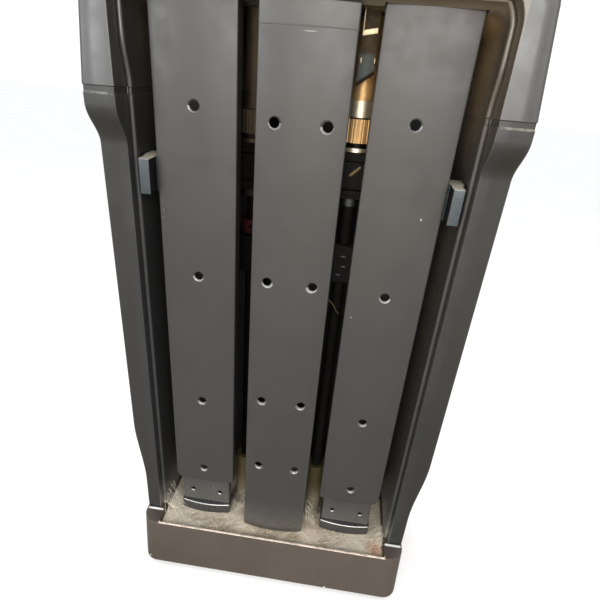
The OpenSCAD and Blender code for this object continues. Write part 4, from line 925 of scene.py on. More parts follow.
class Finish:
    """A node material in the making: helpers add nodes and return their output sockets."""

    def __init__(self, name):
        self.material = bpy.data.materials.new(name)
        self.material.use_nodes = True
        self.tree = self.material.node_tree
        self.tree.nodes.clear()
        self.shader = self.node("BsdfPrincipled")
        self.node("OutputMaterial", self.shader.outputs[0])
        self.place = self.node("TexCoord").outputs["Object"]

    def fill(self, node, inputs):
        """Links sockets to a node's inputs and sets other values on them."""
        for key, value in inputs.items():
            socket = node.inputs[key]
            if isinstance(value, bpy.types.NodeSocket):
                self.tree.links.new(value, socket)
            else:
                socket.default_value = value

    def node(self, kind, *first, **named):
        """A new node with its first and its named inputs filled."""
        node = self.tree.nodes.new("ShaderNode" + kind)
        self.fill(node, dict(enumerate(first)))
        self.fill(node, {name.replace("_", " "): value for name, value in named.items()})
        return node

    def set(self, **values):
        self.fill(self.shader, {name.replace("_", " "): value for name, value in values.items()})

    def stretched(self, scale, turn=0.0):
        """The place turned about the vertical by some degrees, then scaled along each axis."""
        node = self.node("Mapping", Vector=self.place, Rotation=(0, 0, math.radians(turn)),
                         Scale=[1 / factor for factor in scale])
        node.vector_type = "TEXTURE"
        return node.outputs[0]

    def noise(self, scale, detail=3.0, rough=0.5, stretch=None, twist=0.0, turn=0.0):
        place = self.stretched(stretch, turn) if stretch else self.place
        node = self.node("TexNoise", Vector=place, Scale=scale, Detail=detail, Roughness=rough,
                         Distortion=twist)
        return node.outputs["Fac"]

    def rings(self, scale):
        """Turned lines round the vertical axis."""
        node = self.node("TexWave", Vector=self.place, Scale=scale, Distortion=1.5)
        node.bands_direction = "Z"
        return node.outputs["Fac"]

    def span(self, value, low, high, to_low=0.0, to_high=1.0):
        node = self.node("MapRange", Value=value, From_Min=low, From_Max=high, To_Min=to_low, To_Max=to_high)
        node.interpolation_type = "SMOOTHSTEP"
        return node.outputs["Result"]

    def math(self, operation, a, b=0.0):
        node = self.node("Math", a, b)
        node.operation = operation
        return node.outputs[0]

    def times(self, a, b):
        return self.math("MULTIPLY", a, b)

    def vector(self, operation, a, b=(0.0, 0.0, 0.0)):
        node = self.node("VectorMath", a, b)
        node.operation = operation
        return node.outputs["Value" if operation in ("LENGTH", "DOT_PRODUCT") else "Vector"]

    def mix(self, amount, a, b):
        node = self.node("Mix", amount)
        node.data_type = "RGBA"
        colours = [(*colour, 1.0) if isinstance(colour, tuple) else colour for colour in (a, b)]
        self.fill(node, {6: colours[0], 7: colours[1]})
        return node.outputs[2]

    def band(self, value, low, high, soft):
        """1 between two values and 0 outside, with soft ends."""
        return self.times(self.span(value, low - soft, low), self.span(value, high + soft, high))

    def spots(self, places, size):
        """1 in small marks round some places in millimetres; size is their reach along X, Y and Z."""
        marks = None
        for place in places:
            offset = self.vector("SUBTRACT", self.place, shade(place, MM))
            reach = self.vector("LENGTH", self.vector("DIVIDE", offset, shade(size, MM)))
            near = self.span(reach, 1.0, 0.7)
            marks = near if marks is None else self.math("MAXIMUM", marks, near)
        return marks

    def axes(self):
        """The place on the piece as three numbers, in metres."""
        return tuple(self.node("SeparateXYZ", self.place).outputs)

    def normal(self):
        return self.node("NewGeometry").outputs["Normal"]

    def up(self):
        """How far a face looks upwards."""
        return self.node("SeparateXYZ", self.normal()).outputs["Z"]

    def edges(self, radius):
        """Bright along convex edges, from how far the rounded normal turns from the face's own."""
        rounded = self.node("Bevel", Radius=radius * MM)
        rounded.samples = 4
        return self.span(self.vector("DOT_PRODUCT", rounded.outputs[0], self.normal()), 0.97, 0.8)

    def bump(self, height, depth, strength=1.0, under=None):
        node = self.node("Bump", Strength=strength, Distance=depth * MM, Height=height)
        if under is not None:
            self.fill(node, {"Normal": under})
        return node.outputs[0]

    def clouded(self, base, low, high, scale=9):
        """A colour that drifts between two shades of a base."""
        return self.mix(self.span(self.noise(scale, 5, 0.6), 0.3, 0.7), shade(base, low), shade(base, high))

    def uneven(self, low, high):
        """Roughness that drifts between two values."""
        return self.span(self.noise(40, 4, 0.65), 0.3, 0.7, low, high)

    def scuffs(self):
        """1 in short upright scuff marks."""
        return self.times(self.span(self.noise(6, 6, 0.7, stretch=(40, 40, 3), twist=0.6), 0.62, 0.70),
                          self.span(self.noise(14, 3), 0.5, 0.65))

    def rubbed(self, radius, least):
        """Uneven wear along edges."""
        return self.times(self.edges(radius), self.span(self.noise(60, 5, 0.7), 0.35, 0.65, least, 1.0))


def satin(name, base, rough, metal=0.0, tone=0.22, grain=0.02, grain_scale=1400, streak=None, scuff=0.0,
          dust=0.0, dust_colour=(0.30, 0.26, 0.20), wear=0.0, specular=0.5, turned=0.0, coat=0.0, skirt=0.0,
          chips=(), left_shade=0.0):
    """Cloudy tone and fine grain, and where asked streaks, turned lines, scuffs, worn edges or dust.

    skirt is how thickly pale dust clings near the tray, which on the bars also paints in the reflection of
    the dusty tray, chips are places, sizes and colours of small marks in millimetres, and the last argument
    is painted shade: how much darker the piece is on the left-hand side, which stands deeper in shadow.
    """
    f = Finish(name)
    colour = f.clouded(base, 1 - tone, 1 + tone)
    roughness = f.uneven(rough - 0.07, rough + 0.07)
    normal = f.bump(f.noise(grain_scale, 2, 0.5), grain)
    if streak:
        lines = f.noise(1.0, 4, 0.6, stretch=streak)
        colour = f.mix(f.span(lines, 0.45, 0.75, 0.0, 0.5), colour, shade(base, 1 + 2 * tone))
        normal = f.bump(lines, 0.05, 0.5, normal)
    if turned:
        normal = f.bump(f.rings(turned), 0.05, 0.6, normal)
    if scuff:
        marks = f.scuffs()
        colour = f.mix(f.times(marks, scuff), colour, shade(base, 2.6))
        roughness = f.math("ADD", roughness, f.times(marks, 0.12))
    if wear:
        colour = f.mix(f.times(f.rubbed(1.1, 0.25), wear), colour, shade(base, 3.0))
    if dust:
        lying = f.times(f.span(f.up(), 0.35, 0.95), f.span(f.noise(120, 6, 0.7), 0.25, 0.75, 0.35, 1.0))
        lying = f.times(lying, dust)
        colour = f.mix(lying, colour, dust_colour)
        roughness = f.math("ADD", roughness, f.times(lying, 0.4))
    # Pale skirt near the tray: clinging dust, and on the bars also a painted reflection of the dusty tray.
    if skirt:
        cling = f.times(f.span(f.axes()[2], (TRAY_TOP + SKIRT_H) * MM, TRAY_TOP * MM, 0.0, skirt),
                        f.span(f.noise(150, 6, 0.7), 0.3, 0.7, 0.4, 1.0))
        colour = f.mix(cling, colour, PALE_DUST)
        roughness = f.math("ADD", roughness, f.times(cling, 0.5))
    for places, size, bare in chips:
        colour = f.mix(f.spots(places, size), colour, bare)
    # Painted shade: the left-hand half is darkened and its specular lowered, as it stands deeper in shadow.
    if left_shade:
        x = f.axes()[0]
        colour = f.mix(f.span(x, 0.02, -0.02, 0.0, left_shade), colour, BLACK)
        specular = f.span(x, -0.02, 0.02, specular * (1 - left_shade), specular)
    f.set(Base_Color=colour, Roughness=roughness, Normal=normal, Metallic=metal, Specular_IOR_Level=specular,
          Coat_Weight=coat)
    return f.material


def moulded(name, base, rough, specular, flat):
    """Moulded casing: cloudy gloss, olive outer flanges, a worn seam and painted warm light on the right-hand
    recess.
    """
    f = Finish(name)
    x, y, z = f.axes()
    across = f.math("ABSOLUTE", x)
    inner_x, lintel_top = OPENING_HALF + BEAD_W, HEAD + LINTEL_RISE + BEAD_W
    colour = f.clouded(base, 0.88, 1.12)
    # Olive tone on the outer flanges. It also paints in the warm reflection of the room below, so it is
    # stronger lower down.
    tone_x = (inner_x + flat) * MM
    outer = f.times(f.span(across, tone_x - 0.003, tone_x + 0.003), f.span(z, 0.80, 0.70, 0.3, 0.9))
    colour = f.mix(outer, colour, OLIVE)
    inside = f.times(f.span(across, (inner_x + 1.5) * MM, (inner_x + 0.5) * MM),
                     f.span(z, (lintel_top + 2) * MM, lintel_top * MM))
    # Painted warm light: a tan colour on the right-hand recess walls, bead and lintel stands in for the warm
    # light that falls there. It is weaker on the left, stronger further in and tanner higher up.
    painted_recess_light = f.times(inside, f.span(f.noise(30, 6, 0.7), 0.25, 0.75, 0.7, 1.0))
    painted_recess_light = f.times(painted_recess_light, f.span(x, -0.03, 0.14, 0.25, 0.9))
    painted_recess_light = f.times(painted_recess_light, f.span(y, (BEAD_CREST - 4) * MM, (BEAD_CREST + 66) * MM, 0.15, 1.0))
    warm = f.mix(f.span(z, (SEAM - 60) * MM, (HEAD - 20) * MM), LIT_RECESS_GREY, LIT_RECESS_TAN)
    colour = f.mix(painted_recess_light, colour, warm)
    cling = f.times(inside, f.span(z, (TRAY_TOP + CLING_H) * MM, TRAY_TOP * MM, 0.0, 0.35))
    colour = f.mix(f.times(cling, f.span(f.noise(150, 6, 0.7), 0.3, 0.7, 0.3, 1.0)), colour, PALE_DUST)
    colour = f.mix(f.times(f.scuffs(), 0.25), colour, shade(base, 2.2))
    colour = f.mix(f.times(f.rubbed(0.9, 0.2), 0.45), colour, RUBBED_PLASTIC)
    ledge = SEAM - SEAM_BAND - SEAM_IN
    worn = f.times(f.band(z, (ledge - 0.5) * MM, (ledge + 1.3) * MM, 0.0004),
                   f.span(f.noise(160, 5, 0.7), 0.38, 0.58, 0.05, 0.55))
    worn = f.times(worn, f.span(across, (inner_x + 1) * MM, (inner_x + 4) * MM))
    colour = f.mix(worn, colour, BARE_PLASTIC)
    colour = f.mix(f.spots(BEAD_CHIPS, (1.4, 6.0, 1.8)), colour, BARE_PLASTIC)
    normal = f.bump(f.noise(1400, 2, 0.5), 0.02, 0.8, f.bump(f.noise(28, 3, 0.5), 0.25, 0.25))
    f.set(Base_Color=colour, Roughness=f.uneven(rough - 0.05, rough + 0.07), Normal=normal,
          Specular_IOR_Level=specular)
    return f.material


def sill_plastic(name, base):
    """Brown plastic with upright grain, a pale line along the sill's top edge that is worn plastic and a
    painted highlight, and a few chips.
    """
    f = Finish(name)
    x, y, z = f.axes()
    lines = f.noise(1.0, 4, 0.6, stretch=(420, 420, 22))
    colour = f.mix(f.span(lines, 0.4, 0.75, 0.0, 0.4), f.clouded(base, 0.85, 1.12, 7), shade(base, 1.35))
    # Pale line along the sill's top front edge: worn plastic and a painted highlight.
    front = f.times(f.band(y, (tray_low.y - 6) * MM, (tray_low.y + 0.5) * MM, 0.0006),
                    f.band(x, tray_low.x * MM, tray_high.x * MM, 0.003))
    lip_wear_and_highlight = f.times(f.span(z, (PLINTH_TOP - 1.5) * MM, (PLINTH_TOP - 0.7) * MM), front)
    lip_wear_and_highlight = f.times(lip_wear_and_highlight, f.span(f.noise(90, 5, 0.7), 0.3, 0.6, 0.35, 0.95))
    colour = f.mix(lip_wear_and_highlight, colour, (0.62, 0.52, 0.44))
    specks = f.times(f.span(f.noise(420, 2, 0.5), 0.74, 0.77), f.span(z, 0.045, 0.012))
    specks = f.math("MAXIMUM", specks, f.spots(SILL_CHIPS, (1.6, 6.0, 1.5)))
    colour = f.mix(specks, colour, (0.8, 0.77, 0.72))
    normal = f.bump(lines, 0.04, 0.4, f.bump(f.noise(1400, 2, 0.5), 0.03))
    f.set(Base_Color=colour, Roughness=f.uneven(0.36, 0.48), Normal=normal, Specular_IOR_Level=0.45)
    return f.material


def metal_shaded_on_left(name, bright, dull, rough, metal=1.0):
    """Metal that is bright on the right-hand side and darker and browner on the left, where the colour is
    painted shade.
    """
    f = Finish(name)
    x, _, z = f.axes()
    # Painted shade: the left-hand pieces take the darker colour and rougher finish, standing in for the deep
    # shade of the left-hand gap. The stains vary on both sides.
    side = f.span(x, -0.01, 0.01)
    stain = f.noise(70, 6, 0.7, stretch=(1, 1, 0.5))
    lit_colour = f.mix(f.span(stain, 0.35, 0.7), bright, shade(bright, 0.6))
    shaded_colour = f.mix(f.span(stain, 0.4, 0.7), dull, shade(dull, 1.6))
    colour = f.mix(side, shaded_colour, lit_colour)
    # Painted shade: near-black bands where slits between the brass pieces lie in shadow.
    for low, high in BRASS_SLIT_SHADE:
        colour = f.mix(f.band(z, low * MM, high * MM, 0.0003), colour, (0.006, 0.004, 0.002))
    roughness = f.math("ADD", f.span(side, 0.0, 1.0, rough + 0.2, rough),
                       f.span(stain, 0.3, 0.7, -0.04, 0.08))
    f.set(Base_Color=colour, Roughness=roughness, Metallic=metal, Normal=f.bump(f.rings(700), 0.04, 0.5))
    return f.material


def rim_metal(name):
    """Bare metal of the countersinks, darker towards the floor as painted shade."""
    f = Finish(name)
    stain = f.noise(300, 4, 0.6)
    # Painted shade: darker towards the floor.
    colour = f.mix(f.span(f.axes()[2], 0.25, 0.72), (0.20, 0.195, 0.185), (0.66, 0.65, 0.63))
    colour = f.mix(f.span(stain, 0.4, 0.7, 0.0, 0.5), colour, (0.12, 0.115, 0.11))
    f.set(Base_Color=colour, Roughness=f.span(stain, 0.3, 0.7, 0.32, 0.46), Metallic=1.0)
    return f.material


def strap_paint(name):
    """Strap's olive paint, worn to blue-grey steel below the clips, with painted shade along its lower edge.
    """
    f = Finish(name)
    x, _, z = f.axes()
    (x0, x1), (low, high) = STRAP_X, STRAP_FOOT
    slope = (high - low) / (x1 - x0)
    above = f.math("SUBTRACT", z, f.times(x, slope))
    foot = (low - slope * x0) * MM
    stain = f.span(f.noise(160, 5, 0.7), 0.3, 0.7)
    colour = f.mix(stain, (0.012, 0.009, 0.005), (0.034, 0.026, 0.015))
    bare = f.times(f.span(z, 0.818, 0.812), f.span(f.noise(90, 4, 0.6), 0.3, 0.6, 0.6, 1.0))
    colour = f.mix(bare, colour, (0.040, 0.050, 0.049))
    # Painted shade: near-black along the strap's slanted lower edge.
    colour = f.mix(f.span(above, foot + 0.0050, foot + 0.0038), colour, (0.010, 0.006, 0.004))
    f.set(Base_Color=colour, Roughness=f.span(stain, 0.0, 1.0, 0.5, 0.7), Normal=f.bump(stain, 0.1, 0.4),
          Specular_IOR_Level=0.08)
    return f.material


def speckled(name, dark, light, scale):
    """Grit whose bits differ from dark to light."""
    f = Finish(name)
    f.set(Base_Color=f.mix(f.span(f.noise(scale, 2, 0.5), 0.42, 0.58), dark, light), Roughness=0.9,
          Specular_IOR_Level=0.15, Normal=f.bump(f.noise(2500, 2, 0.5), 0.05))
    return f.material


def dusty_felt(name):
    """Matted dust: crossing pale and dark fibres over brown, rusty in the right-hand front corner."""
    f = Finish(name)
    x, y, _ = f.axes()
    patches = f.span(f.noise(24, 6, 0.62), 0.34, 0.66)
    colour = f.mix(patches, (0.25, 0.180, 0.113), (0.52, 0.45, 0.34))
    colour = f.mix(f.span(f.math("ABSOLUTE", x), 0.02, 0.15, 0.0, 0.35), colour, (0.52, 0.48, 0.40))
    height = patches
    for turn, pale in ((38, 0.8), (-47, 0.65), (12, 0.55)):
        threads = f.noise(1.0, 5, 0.65, stretch=(36, 540, 300), twist=0.9, turn=turn)
        colour = f.mix(f.span(threads, 0.55, 0.70, 0.0, pale), colour, (0.84, 0.79, 0.67))
        colour = f.mix(f.span(threads, 0.43, 0.30, 0.0, 0.6), colour, (0.085, 0.063, 0.042))
        height = f.math("ADD", height, threads)
    near = f.times(f.span(x, 0.150, 0.182), f.span(y, -0.040, -0.080))
    rust = f.times(near, f.span(f.noise(70, 4, 0.6), 0.30, 0.55, 0.1, 0.9))
    colour = f.mix(rust, colour, (0.33, 0.13, 0.045))
    normal = f.bump(height, 0.8, 0.8, f.bump(f.noise(900, 4, 0.7), 0.35, 0.8))
    f.set(Base_Color=colour, Roughness=0.95, Normal=normal, Specular_IOR_Level=0.15, Sheen_Weight=0.3)
    return f.material


BLACK = (0.0, 0.0, 0.0)
GREY = (0.016, 0.0168, 0.0172)
OLIVE = (0.0150, 0.0148, 0.0122)
# Painted warm light in the right-hand recess, greyer low down and tanner up high
LIT_RECESS_GREY = (0.110, 0.105, 0.093)
LIT_RECESS_TAN = (0.360, 0.275, 0.165)
BARE_PLASTIC = (0.22, 0.215, 0.20)
RUBBED_PLASTIC = (0.16, 0.155, 0.15)
BAR_GREY = (0.0255, 0.0252, 0.0242)
BRASS = (0.60, 0.385, 0.175)
# Darker brass painted on the left-hand pieces as shade
SHADED_BRASS = (0.027, 0.0195, 0.0115)
PALE_DUST = (0.42, 0.39, 0.32)

# Places of small marks, in millimetres
# Heights of bands of painted shade for slits in the brass
BRASS_SLIT_SHADE = ((719.6, 724.6), (751.0, 752.4))
BEAD_CHIPS = ((-185.8, -57.0, 600.7), (-189.5, -66.0, 767.0))
SILL_CHIPS = ((100.2, -97.0, 12.5), (-209.7, -97.0, 15.8))
# Painted highlight: a short pale mark where an edge just below the cap catches the light
CAP_HIGHLIGHT = ((3.2, -69.6, 828.4),)
BRACKET_MARKS = ((62.7, -26.0, 584.5), (64.3, -26.0, 570.5), (58.5, -26.0, 558.5))
BAR_CHIPS = ((-164.1, -55.0, 630.6), (-164.5, -55.0, 620.5), (145.9, -55.0, 651.6), (75.1, -55.0, 520.0),
             (82.4, -55.0, 513.6))
# Bar chips, and the painted highlight below the cap
BAR_MARKS = ((BAR_CHIPS, (0.7, 3.0, 1.7), (0.42, 0.41, 0.39)),
             (CAP_HIGHLIGHT, (8.0, 4.0, 0.8), (0.12, 0.118, 0.112)))
BLACK_MARKS = ((BRACKET_MARKS, (4.2, 12.0, 1.5), (0.050, 0.050, 0.056)),)

# Colour, roughness and further traits of the plain finishes, by material slot
SATINS = {
    "cover_plastic": (shade(GREY, 1.2), 0.5, dict(grain=0.06, grain_scale=900, scuff=0.3, dust=0.3)),
    "tray_plastic": ((0.06, 0.055, 0.048), 0.6, dict(grain=0.05, dust=0.9)),
    "rubber": ((0.015, 0.015, 0.016), 0.75, dict(grain=0.08, grain_scale=700, dust=0.3)),
    "plain_steel": ((0.33, 0.33, 0.34), 0.38, dict(metal=1.0, streak=(30, 300, 300))),
    "fastener_steel": ((0.55, 0.55, 0.54), 0.28, dict(metal=1.0, tone=0.12)),
    "black_steel": ((0.0045, 0.0045, 0.004), 0.6, dict(grain=0.05, wear=0.3, scuff=0.2, specular=0.05,
                                                       left_shade=0.7)),
    "bar_aluminium": (BAR_GREY, 0.38, dict(tone=0.05, grain=0.012, grain_scale=2200, streak=(700, 700, 6),
                                           scuff=0.25, wear=0.5, skirt=0.12, chips=BAR_MARKS)),
    "post_aluminium": ((0.034, 0.034, 0.033), 0.34, dict(tone=0.12, streak=(600, 600, 8), scuff=1.0, wear=1.0,
                                                         skirt=0.12)),
    "cap_plastic": (shade(BAR_GREY, 1.4), 0.40, dict(tone=0.08, grain=0.03, dust=0.2)),
    "foot_iron": ((0.028, 0.028, 0.029), 0.30, dict(grain=0.03, grain_scale=600, wear=0.6, coat=0.3)),
    "nylon": ((0.014, 0.013, 0.011), 0.6, dict(grain=0.02, specular=0.2)),
    "dull_brass": ((0.046, 0.036, 0.015), 0.6, dict(grain=0.05, turned=420, specular=0.2, skirt=0.35)),
    "black_plastic": ((0.005, 0.005, 0.005), 0.6, dict(grain=0.05, grain_scale=1000, dust=0.1, specular=0.06,
                                                       chips=BLACK_MARKS, left_shade=0.7)),
    "red_aluminium": ((0.011, 0.0012, 0.0012), 0.7, dict(specular=0.06, turned=500)),
    "alloy": ((0.20, 0.18, 0.13), 0.5, dict(metal=0.7, grain=0.08, grain_scale=500, dust=0.3)),
    "crosshead_aluminium": ((0.11, 0.11, 0.112), 0.42, dict(metal=0.6, streak=(8, 500, 500), wear=0.6)),
    "rod_chrome": ((0.62, 0.62, 0.63), 0.14, dict(metal=1.0, tone=0.08, turned=900)),
    "lock_plastic": ((0.026, 0.034, 0.040), 0.30, dict(grain=0.02, scuff=0.5, wear=0.5)),
}
MATERIALS = {slot: satin(slot, base, rough, **traits) for slot, (base, rough, traits) in SATINS.items()}
MATERIALS["casing_plastic"] = moulded("casing_plastic", GREY, 0.36, 0.5, FLANGE_FLAT)
MATERIALS["shell_plastic"] = moulded("shell_plastic", shade(GREY, 1.15), 0.34, 0.9, UPPER_FLAT)
MATERIALS["plinth_plastic"] = sill_plastic("plinth_plastic", (0.052, 0.041, 0.033))
MATERIALS["brass"] = metal_shaded_on_left("brass", BRASS, SHADED_BRASS, 0.42, 0.7)
COLLAR = metal_shaded_on_left("collar_brass", (0.86, 0.76, 0.57), SHADED_BRASS, 0.34, 0.9)
BUSH = metal_shaded_on_left("bush_steel", (0.085, 0.085, 0.083), (0.012, 0.012, 0.012), 0.38)
PEG = satin("peg_brass", (0.105, 0.072, 0.036), 0.6, metal=0.5, tone=0.3, turned=600)
TAB = satin("tab_brass", (0.62, 0.50, 0.33), 0.5, metal=0.8, tone=0.3, grain=0.3, grain_scale=900)
# Worn bare metal, also used as a painted highlight on the shoes' and locks' front top edges
BARE_METAL_HIGHLIGHT = satin("bare_metal_highlight", (0.40, 0.395, 0.38), 0.36, metal=1.0, tone=0.1)
# Painted highlights for the holes: bare metal on the lower countersinks and a pale lower bore
LIT_RIM = rim_metal("rim_metal")
LIT_BORE = satin("hole_bore", (0.24, 0.236, 0.225), 0.6, tone=0.3, grain=0.05, specular=0.2)
# Near-black painted shade for the bars' hollows and the posts' tops inside the sleeves
HOLLOW_SHADE = satin("bar_inside", (0.006, 0.0055, 0.005), 0.7, grain=0.05, specular=0.1)
# Near-black painted shade for the locks' sides
LOCK_SIDE_SHADE = satin("lock_black", (0.0045, 0.0045, 0.005), 0.55, grain=0.02, specular=0.15)
LOCK_DUST = satin("lock_dust", (0.23, 0.21, 0.17), 0.85, tone=0.35, grain=0.1, grain_scale=900, specular=0.15)
# Dark plates behind the vents, standing in for the shade there
MESH = satin("mesh", (0.012, 0.012, 0.012), 0.8, tone=0.4, grain=0.6, grain_scale=600, specular=0.05)
STRAP = strap_paint("strap_paint")
# Foot ridges, their pale top a painted highlight made through the dust setting
RIDGE_HIGHLIGHT = satin("ridge", (0.060, 0.052, 0.045), 0.3, dust=1.0, dust_colour=(0.80, 0.80, 0.78))
DUST = dusty_felt("dust")
FIBRE = satin("fibre", (0.60, 0.56, 0.47), 0.9, tone=0.4, specular=0.1)
CRUMB = speckled("crumb", (0.10, 0.075, 0.05), (0.85, 0.80, 0.70), 420)


def dress(obj, slot, body, *nodes, material=None):
    """Gives a piece its finish and its body, and lets it stand for CAD nodes."""
    obj.data.materials.clear()
    obj.data.materials.append(material or MATERIALS[slot])
    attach(obj, body)
    if nodes:
        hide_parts(*nodes)
    return obj


def paint(obj, material, test):
    """Gives a further finish to the faces whose middle, in millimetres, and normal pass a test."""
    obj.data.materials.append(material)
    index = len(obj.data.materials) - 1
    for face in obj.data.polygons:
        if test(face.center / MM, face.normal):
            face.material_index = index


def paint_holes(obj, holes, radius, sink):
    """Paints bare metal on the lower half of countersunk holes that look forward, given by their X and Z, and
    a pale lower bore: painted highlights where the light catches them.
    """
    near = 0.3

    def reach(place):
        return min(math.hypot(place.x - hx, place.z - hz) for hx, hz in holes)

    def is_lit_rim(place, normal):
        on_cone = radius - near < reach(place) < radius + sink + near
        return on_cone and -0.95 < normal.y < -0.3 and normal.z > 0.05

    def is_lit_bore(place, normal):
        return abs(reach(place) - radius) < near and abs(normal.y) < 0.3 and normal.z > 0.35

    # Painted highlights on the lower rims and bores.
    paint(obj, LIT_RIM, is_lit_rim)
    paint(obj, LIT_BORE, is_lit_bore)


def paint_hollow(obj, x, low, high, crown):
    """Paints the hollow of a bar whose middle is at x near-black, as painted shade."""
    half = (high.x - low.x) / 2
    radius = crown_radius(half, crown)

    def is_shaded_hollow(place, normal):
        across = abs(place.x - x)
        front = low.y + radius - math.sqrt(radius ** 2 - min(across, half) ** 2)
        return place.y > front + BAR_WALL - 0.5 and across < half - BAR_WALL + 0.1

    # Painted shade inside the hollow.
    paint(obj, HOLLOW_SHADE, is_shaded_hollow)


# Camera at the photograph's place: its position, and its right and forward directions
CAMERA_PLACE = Vector((0.0551, -0.5629, 0.7790))
CAMERA_RIGHT = Vector((0.9902, 0.1174, 0.0755)).normalized()
CAMERA_FORWARD = Vector((-0.0728, 0.8960, -0.4380)).normalized()
CAMERA_LENS = 26.165
CAMERA_SENSOR = 36
SKY_WHITE = (0.98, 0.99, 1.0)
ROOM_DEPTH = (0.20, 0.175, 0.14)


def add_camera():
    data = bpy.data.cameras.new("camera")
    data.lens = CAMERA_LENS
    data.sensor_width = CAMERA_SENSOR
    data.clip_start = 0.01
    camera = link(bpy.data.objects.new("camera", data))
    up = CAMERA_RIGHT.cross(CAMERA_FORWARD).normalized()
    right = CAMERA_FORWARD.cross(up)
    turn = Matrix((right, up, -CAMERA_FORWARD)).transposed()
    camera.matrix_world = Matrix.Translation(CAMERA_PLACE) @ turn.to_4x4()
    bpy.context.scene.camera = camera


def add_area(name, place, aim, size, power, colour, spread=180, glossy=True):
    data = bpy.data.lights.new(name, "AREA")
    data.shape = "RECTANGLE"
    data.size, data.size_y = size
    data.energy = power
    data.color = colour
    data.spread = math.radians(spread)
    light = link(bpy.data.objects.new(name, data))
    look = (Vector(aim) - Vector(place)).normalized()
    light.matrix_world = Matrix.Translation(place) @ look.to_track_quat("-Z", "Y").to_matrix().to_4x4()
    light.visible_glossy = glossy


def add_sky():
    """White studio above, and the dim brown room below that the glossy sides mirror."""
    world = bpy.data.worlds.new("studio")
    world.use_nodes = True
    tree = world.node_tree
    sky = tree.nodes["Background"]
    parts = tree.nodes.new("ShaderNodeSeparateXYZ")
    ramp = tree.nodes.new("ShaderNodeValToRGB")
    height = tree.nodes.new("ShaderNodeMapRange")
    height.inputs["From Min"].default_value = -1.0
    tree.links.new(tree.nodes.new("ShaderNodeTexCoord").outputs["Generated"], parts.inputs[0])
    tree.links.new(parts.outputs["Z"], height.inputs["Value"])
    tree.links.new(height.outputs["Result"], ramp.inputs["Fac"])
    tree.links.new(ramp.outputs["Color"], sky.inputs["Color"])
    low, high = ramp.color_ramp.elements
    low.position, low.color = 0.05, (*ROOM_DEPTH, 1)
    high.position, high.color = 0.48, (*SKY_WHITE, 1)
    sky.inputs["Strength"].default_value = 1.15
    bpy.context.scene.world = world


def add_stage():
    bm = bmesh.new()
    bmesh.ops.create_grid(bm, x_segments=8, y_segments=8, size=20)
    floor = add_mesh("floor", bm)
    paper = Finish("floor_paper")
    tone = paper.span(paper.noise(3, 4), 0.3, 0.7)
    paper.set(Base_Color=paper.mix(tone, (0.85, 0.85, 0.85), (0.87, 0.87, 0.87)), Roughness=0.9,
              Specular_IOR_Level=0.1)
    floor.data.materials.append(paper.material)
    floor.visible_diffuse = False
    floor.visible_glossy = False
    add_area("front", (0.28, -1.6, 1.24), (0.1, 0, 0.95), (1.6, 0.9), 29, (1.0, 0.975, 0.935))
    add_area("left_high", (-1.25, -1.5, 1.20), (-0.1, 0, 0.9), (0.7, 0.9), 13, (0.98, 0.99, 1.0))
    add_area("warm_fill", (-0.12, -1.0, 0.42), (0.22, 0, 0.90), (0.4, 0.4), 1.5, (1.0, 0.78, 0.52), 60, False)
    add_area("low_front", (-0.15, -1.1, 0.10), (0, 0, 0.12), (0.9, 0.3), 1.8, (1.0, 0.95, 0.88), 80, False)
    bpy.context.scene.view_settings.view_transform = "Standard"


add_camera()
add_sky()
add_stage()

# Shown CAD nodes
SOFT_EDGES = {"crosshead": 1.2, "yoke": 0.8, "rubber_feet": 0.8, "rod_bracket": 0.8, "rod_sockets": 0.6}
for name, obj in NODES.items():
    obj.data.materials.clear()
    obj.data.materials.append(MATERIALS[SLOT_OF[name]])
NODES["clamp_collars"].data.materials[0] = COLLAR
NODES["lift_bushes"].data.materials[0] = BUSH
for name, width in SOFT_EDGES.items():
    ease_node(NODES[name], width)

# Casing
dress(lower_cheek("casing_left_cheek", -1), "casing_plastic", "casing", "left_lower_cheek")
dress(lower_cheek("casing_right_cheek", 1), "casing_plastic", "casing", "right_lower_cheek")
dress(upper_shell(), "shell_plastic", "casing", "upper_shell")
dress(plinth(), "plinth_plastic", "casing", "base_plinth")
dress(cover_form(), "cover_plastic", "casing", "back_cover")

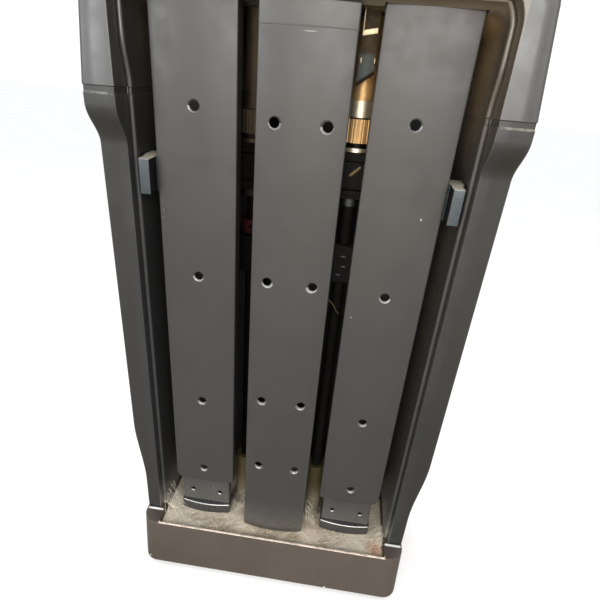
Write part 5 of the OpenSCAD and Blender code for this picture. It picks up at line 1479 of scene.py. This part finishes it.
# What stands on each side: sleeve, post, foot, ridge, lock and its spring
for side, name in zip(SIDES, ("left", "right")):
    x = side * SLEEVE_X
    rows = [(x, sleeve_low.z + row) for row in SLEEVE_ROWS]
    sleeve = bar(name + "_sleeve_bar", x, sleeve_low, sleeve_high, SLEEVE_CROWN, rows, SLEEVE_END_R[::side])
    dress(sleeve, "bar_aluminium", "lift", name + "_sleeve")
    paint_holes(sleeve, rows, HOLE_R, HOLE_SINK)
    paint_hollow(sleeve, x, sleeve_low, sleeve_high, SLEEVE_CROWN)
    post = dress(post_form(name + "_post_form", x), "post_aluminium", "casing", name + "_post")
    paint_holes(post, [(x + s * POST_HOLE_X, post_low.z + POST_HOLE_Z) for s in SIDES], POST_HOLE_R, POST_RIM)
    # Painted shade: the post above this height, inside its sleeve, is near-black.
    paint(post, HOLLOW_SHADE, lambda place, normal: place.z > POST_SHADE_Z)
    shoe = dress(shoe_form(name + "_shoe_form", x), "foot_iron", "casing", name + "_post_foot")
    # Bright arc on the shoe's front top edge: worn bare metal and a painted highlight.
    paint(shoe, BARE_METAL_HIGHLIGHT, lambda place, normal: normal.y < -0.25 and 0.3 < normal.z < 0.97)
    # The ridge's pale top is a painted highlight.
    dress(foot_ridge(name + "_foot_ridge", side), "plinth_plastic", "casing", material=RIDGE_HIGHLIGHT)
    spring = lock_spring(name + "_spring_coil", side)
    dress(spring, "fastener_steel", "casing", name + "_lock_spring")
    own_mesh(spring)
    lock = dress(lock_form(name + "_lock_form", side), "lock_plastic", name + "_lock", name + "_lock_block")
    # Painted shade: the lock's sides and underside are near-black, standing in for the shadow beside the
    # sleeve.
    paint(lock, LOCK_SIDE_SHADE, lambda place, normal: normal.y > -0.6 and normal.z < 0.5)
    paint(lock, LOCK_DUST, lambda place, normal: normal.y > -0.3 and normal.z >= 0.5)
    # Front top edge: worn bare metal and a painted highlight.
    paint(lock, BARE_METAL_HIGHLIGHT, lambda place, normal: -0.97 < normal.y < -0.3 and normal.z > 0.25)

# Middle column and its cap
rows = [(side * COLUMN_HOLE_X, column_low.z + row) for row in COLUMN_ROWS for side in SIDES]
column = bar("centre_column_bar", 0, column_low, column_high, COLUMN_CROWN, rows, COLUMN_END_R)
dress(column, "bar_aluminium", "casing", "centre_column")
paint_holes(column, rows, HOLE_R, HOLE_SINK)
paint_hollow(column, 0, column_low, column_high, COLUMN_CROWN)
cap = crowned_block("column_cap_form", 0, cap_low, cap_high, column_high.z, cap_high.z, COLUMN_CROWN,
                    BAR_EDGE_R)
dress(round_edges(cap, CAP_ROUND), "cap_plastic", "casing", "column_cap")

# Trim, vent meshes and dust
dress(head_strap(), "black_steel", "casing", material=STRAP)
dress(strap_tab(), "brass", "casing", material=TAB)
dress(strap_studs(), "fastener_steel", "casing", material=TAB)
dress(yoke_peg(), "brass", "lift", material=PEG)
dress(strands("bracket_hook", [HOOK], HOOK_R), "brass", "casing", material=PEG)
dress(vent_mesh("lower_vent_mesh", VENT_Z[0] - MESH_DROP), "black_steel", "casing", material=MESH)
dress(vent_mesh("upper_vent_mesh", VENT_Z[1] - MESH_DROP), "black_steel", "casing", material=MESH)
dress(tray_dust(), "tray_plastic", "casing", material=DUST)
dress(tray_fibres(FIBRE_COUNT), "tray_plastic", "casing", material=FIBRE)
dress(tray_crumbs(CRUMB_COUNT), "tray_plastic", "casing", material=CRUMB)
dress(tray_webs(WEB_COUNT), "tray_plastic", "casing", material=FIBRE)
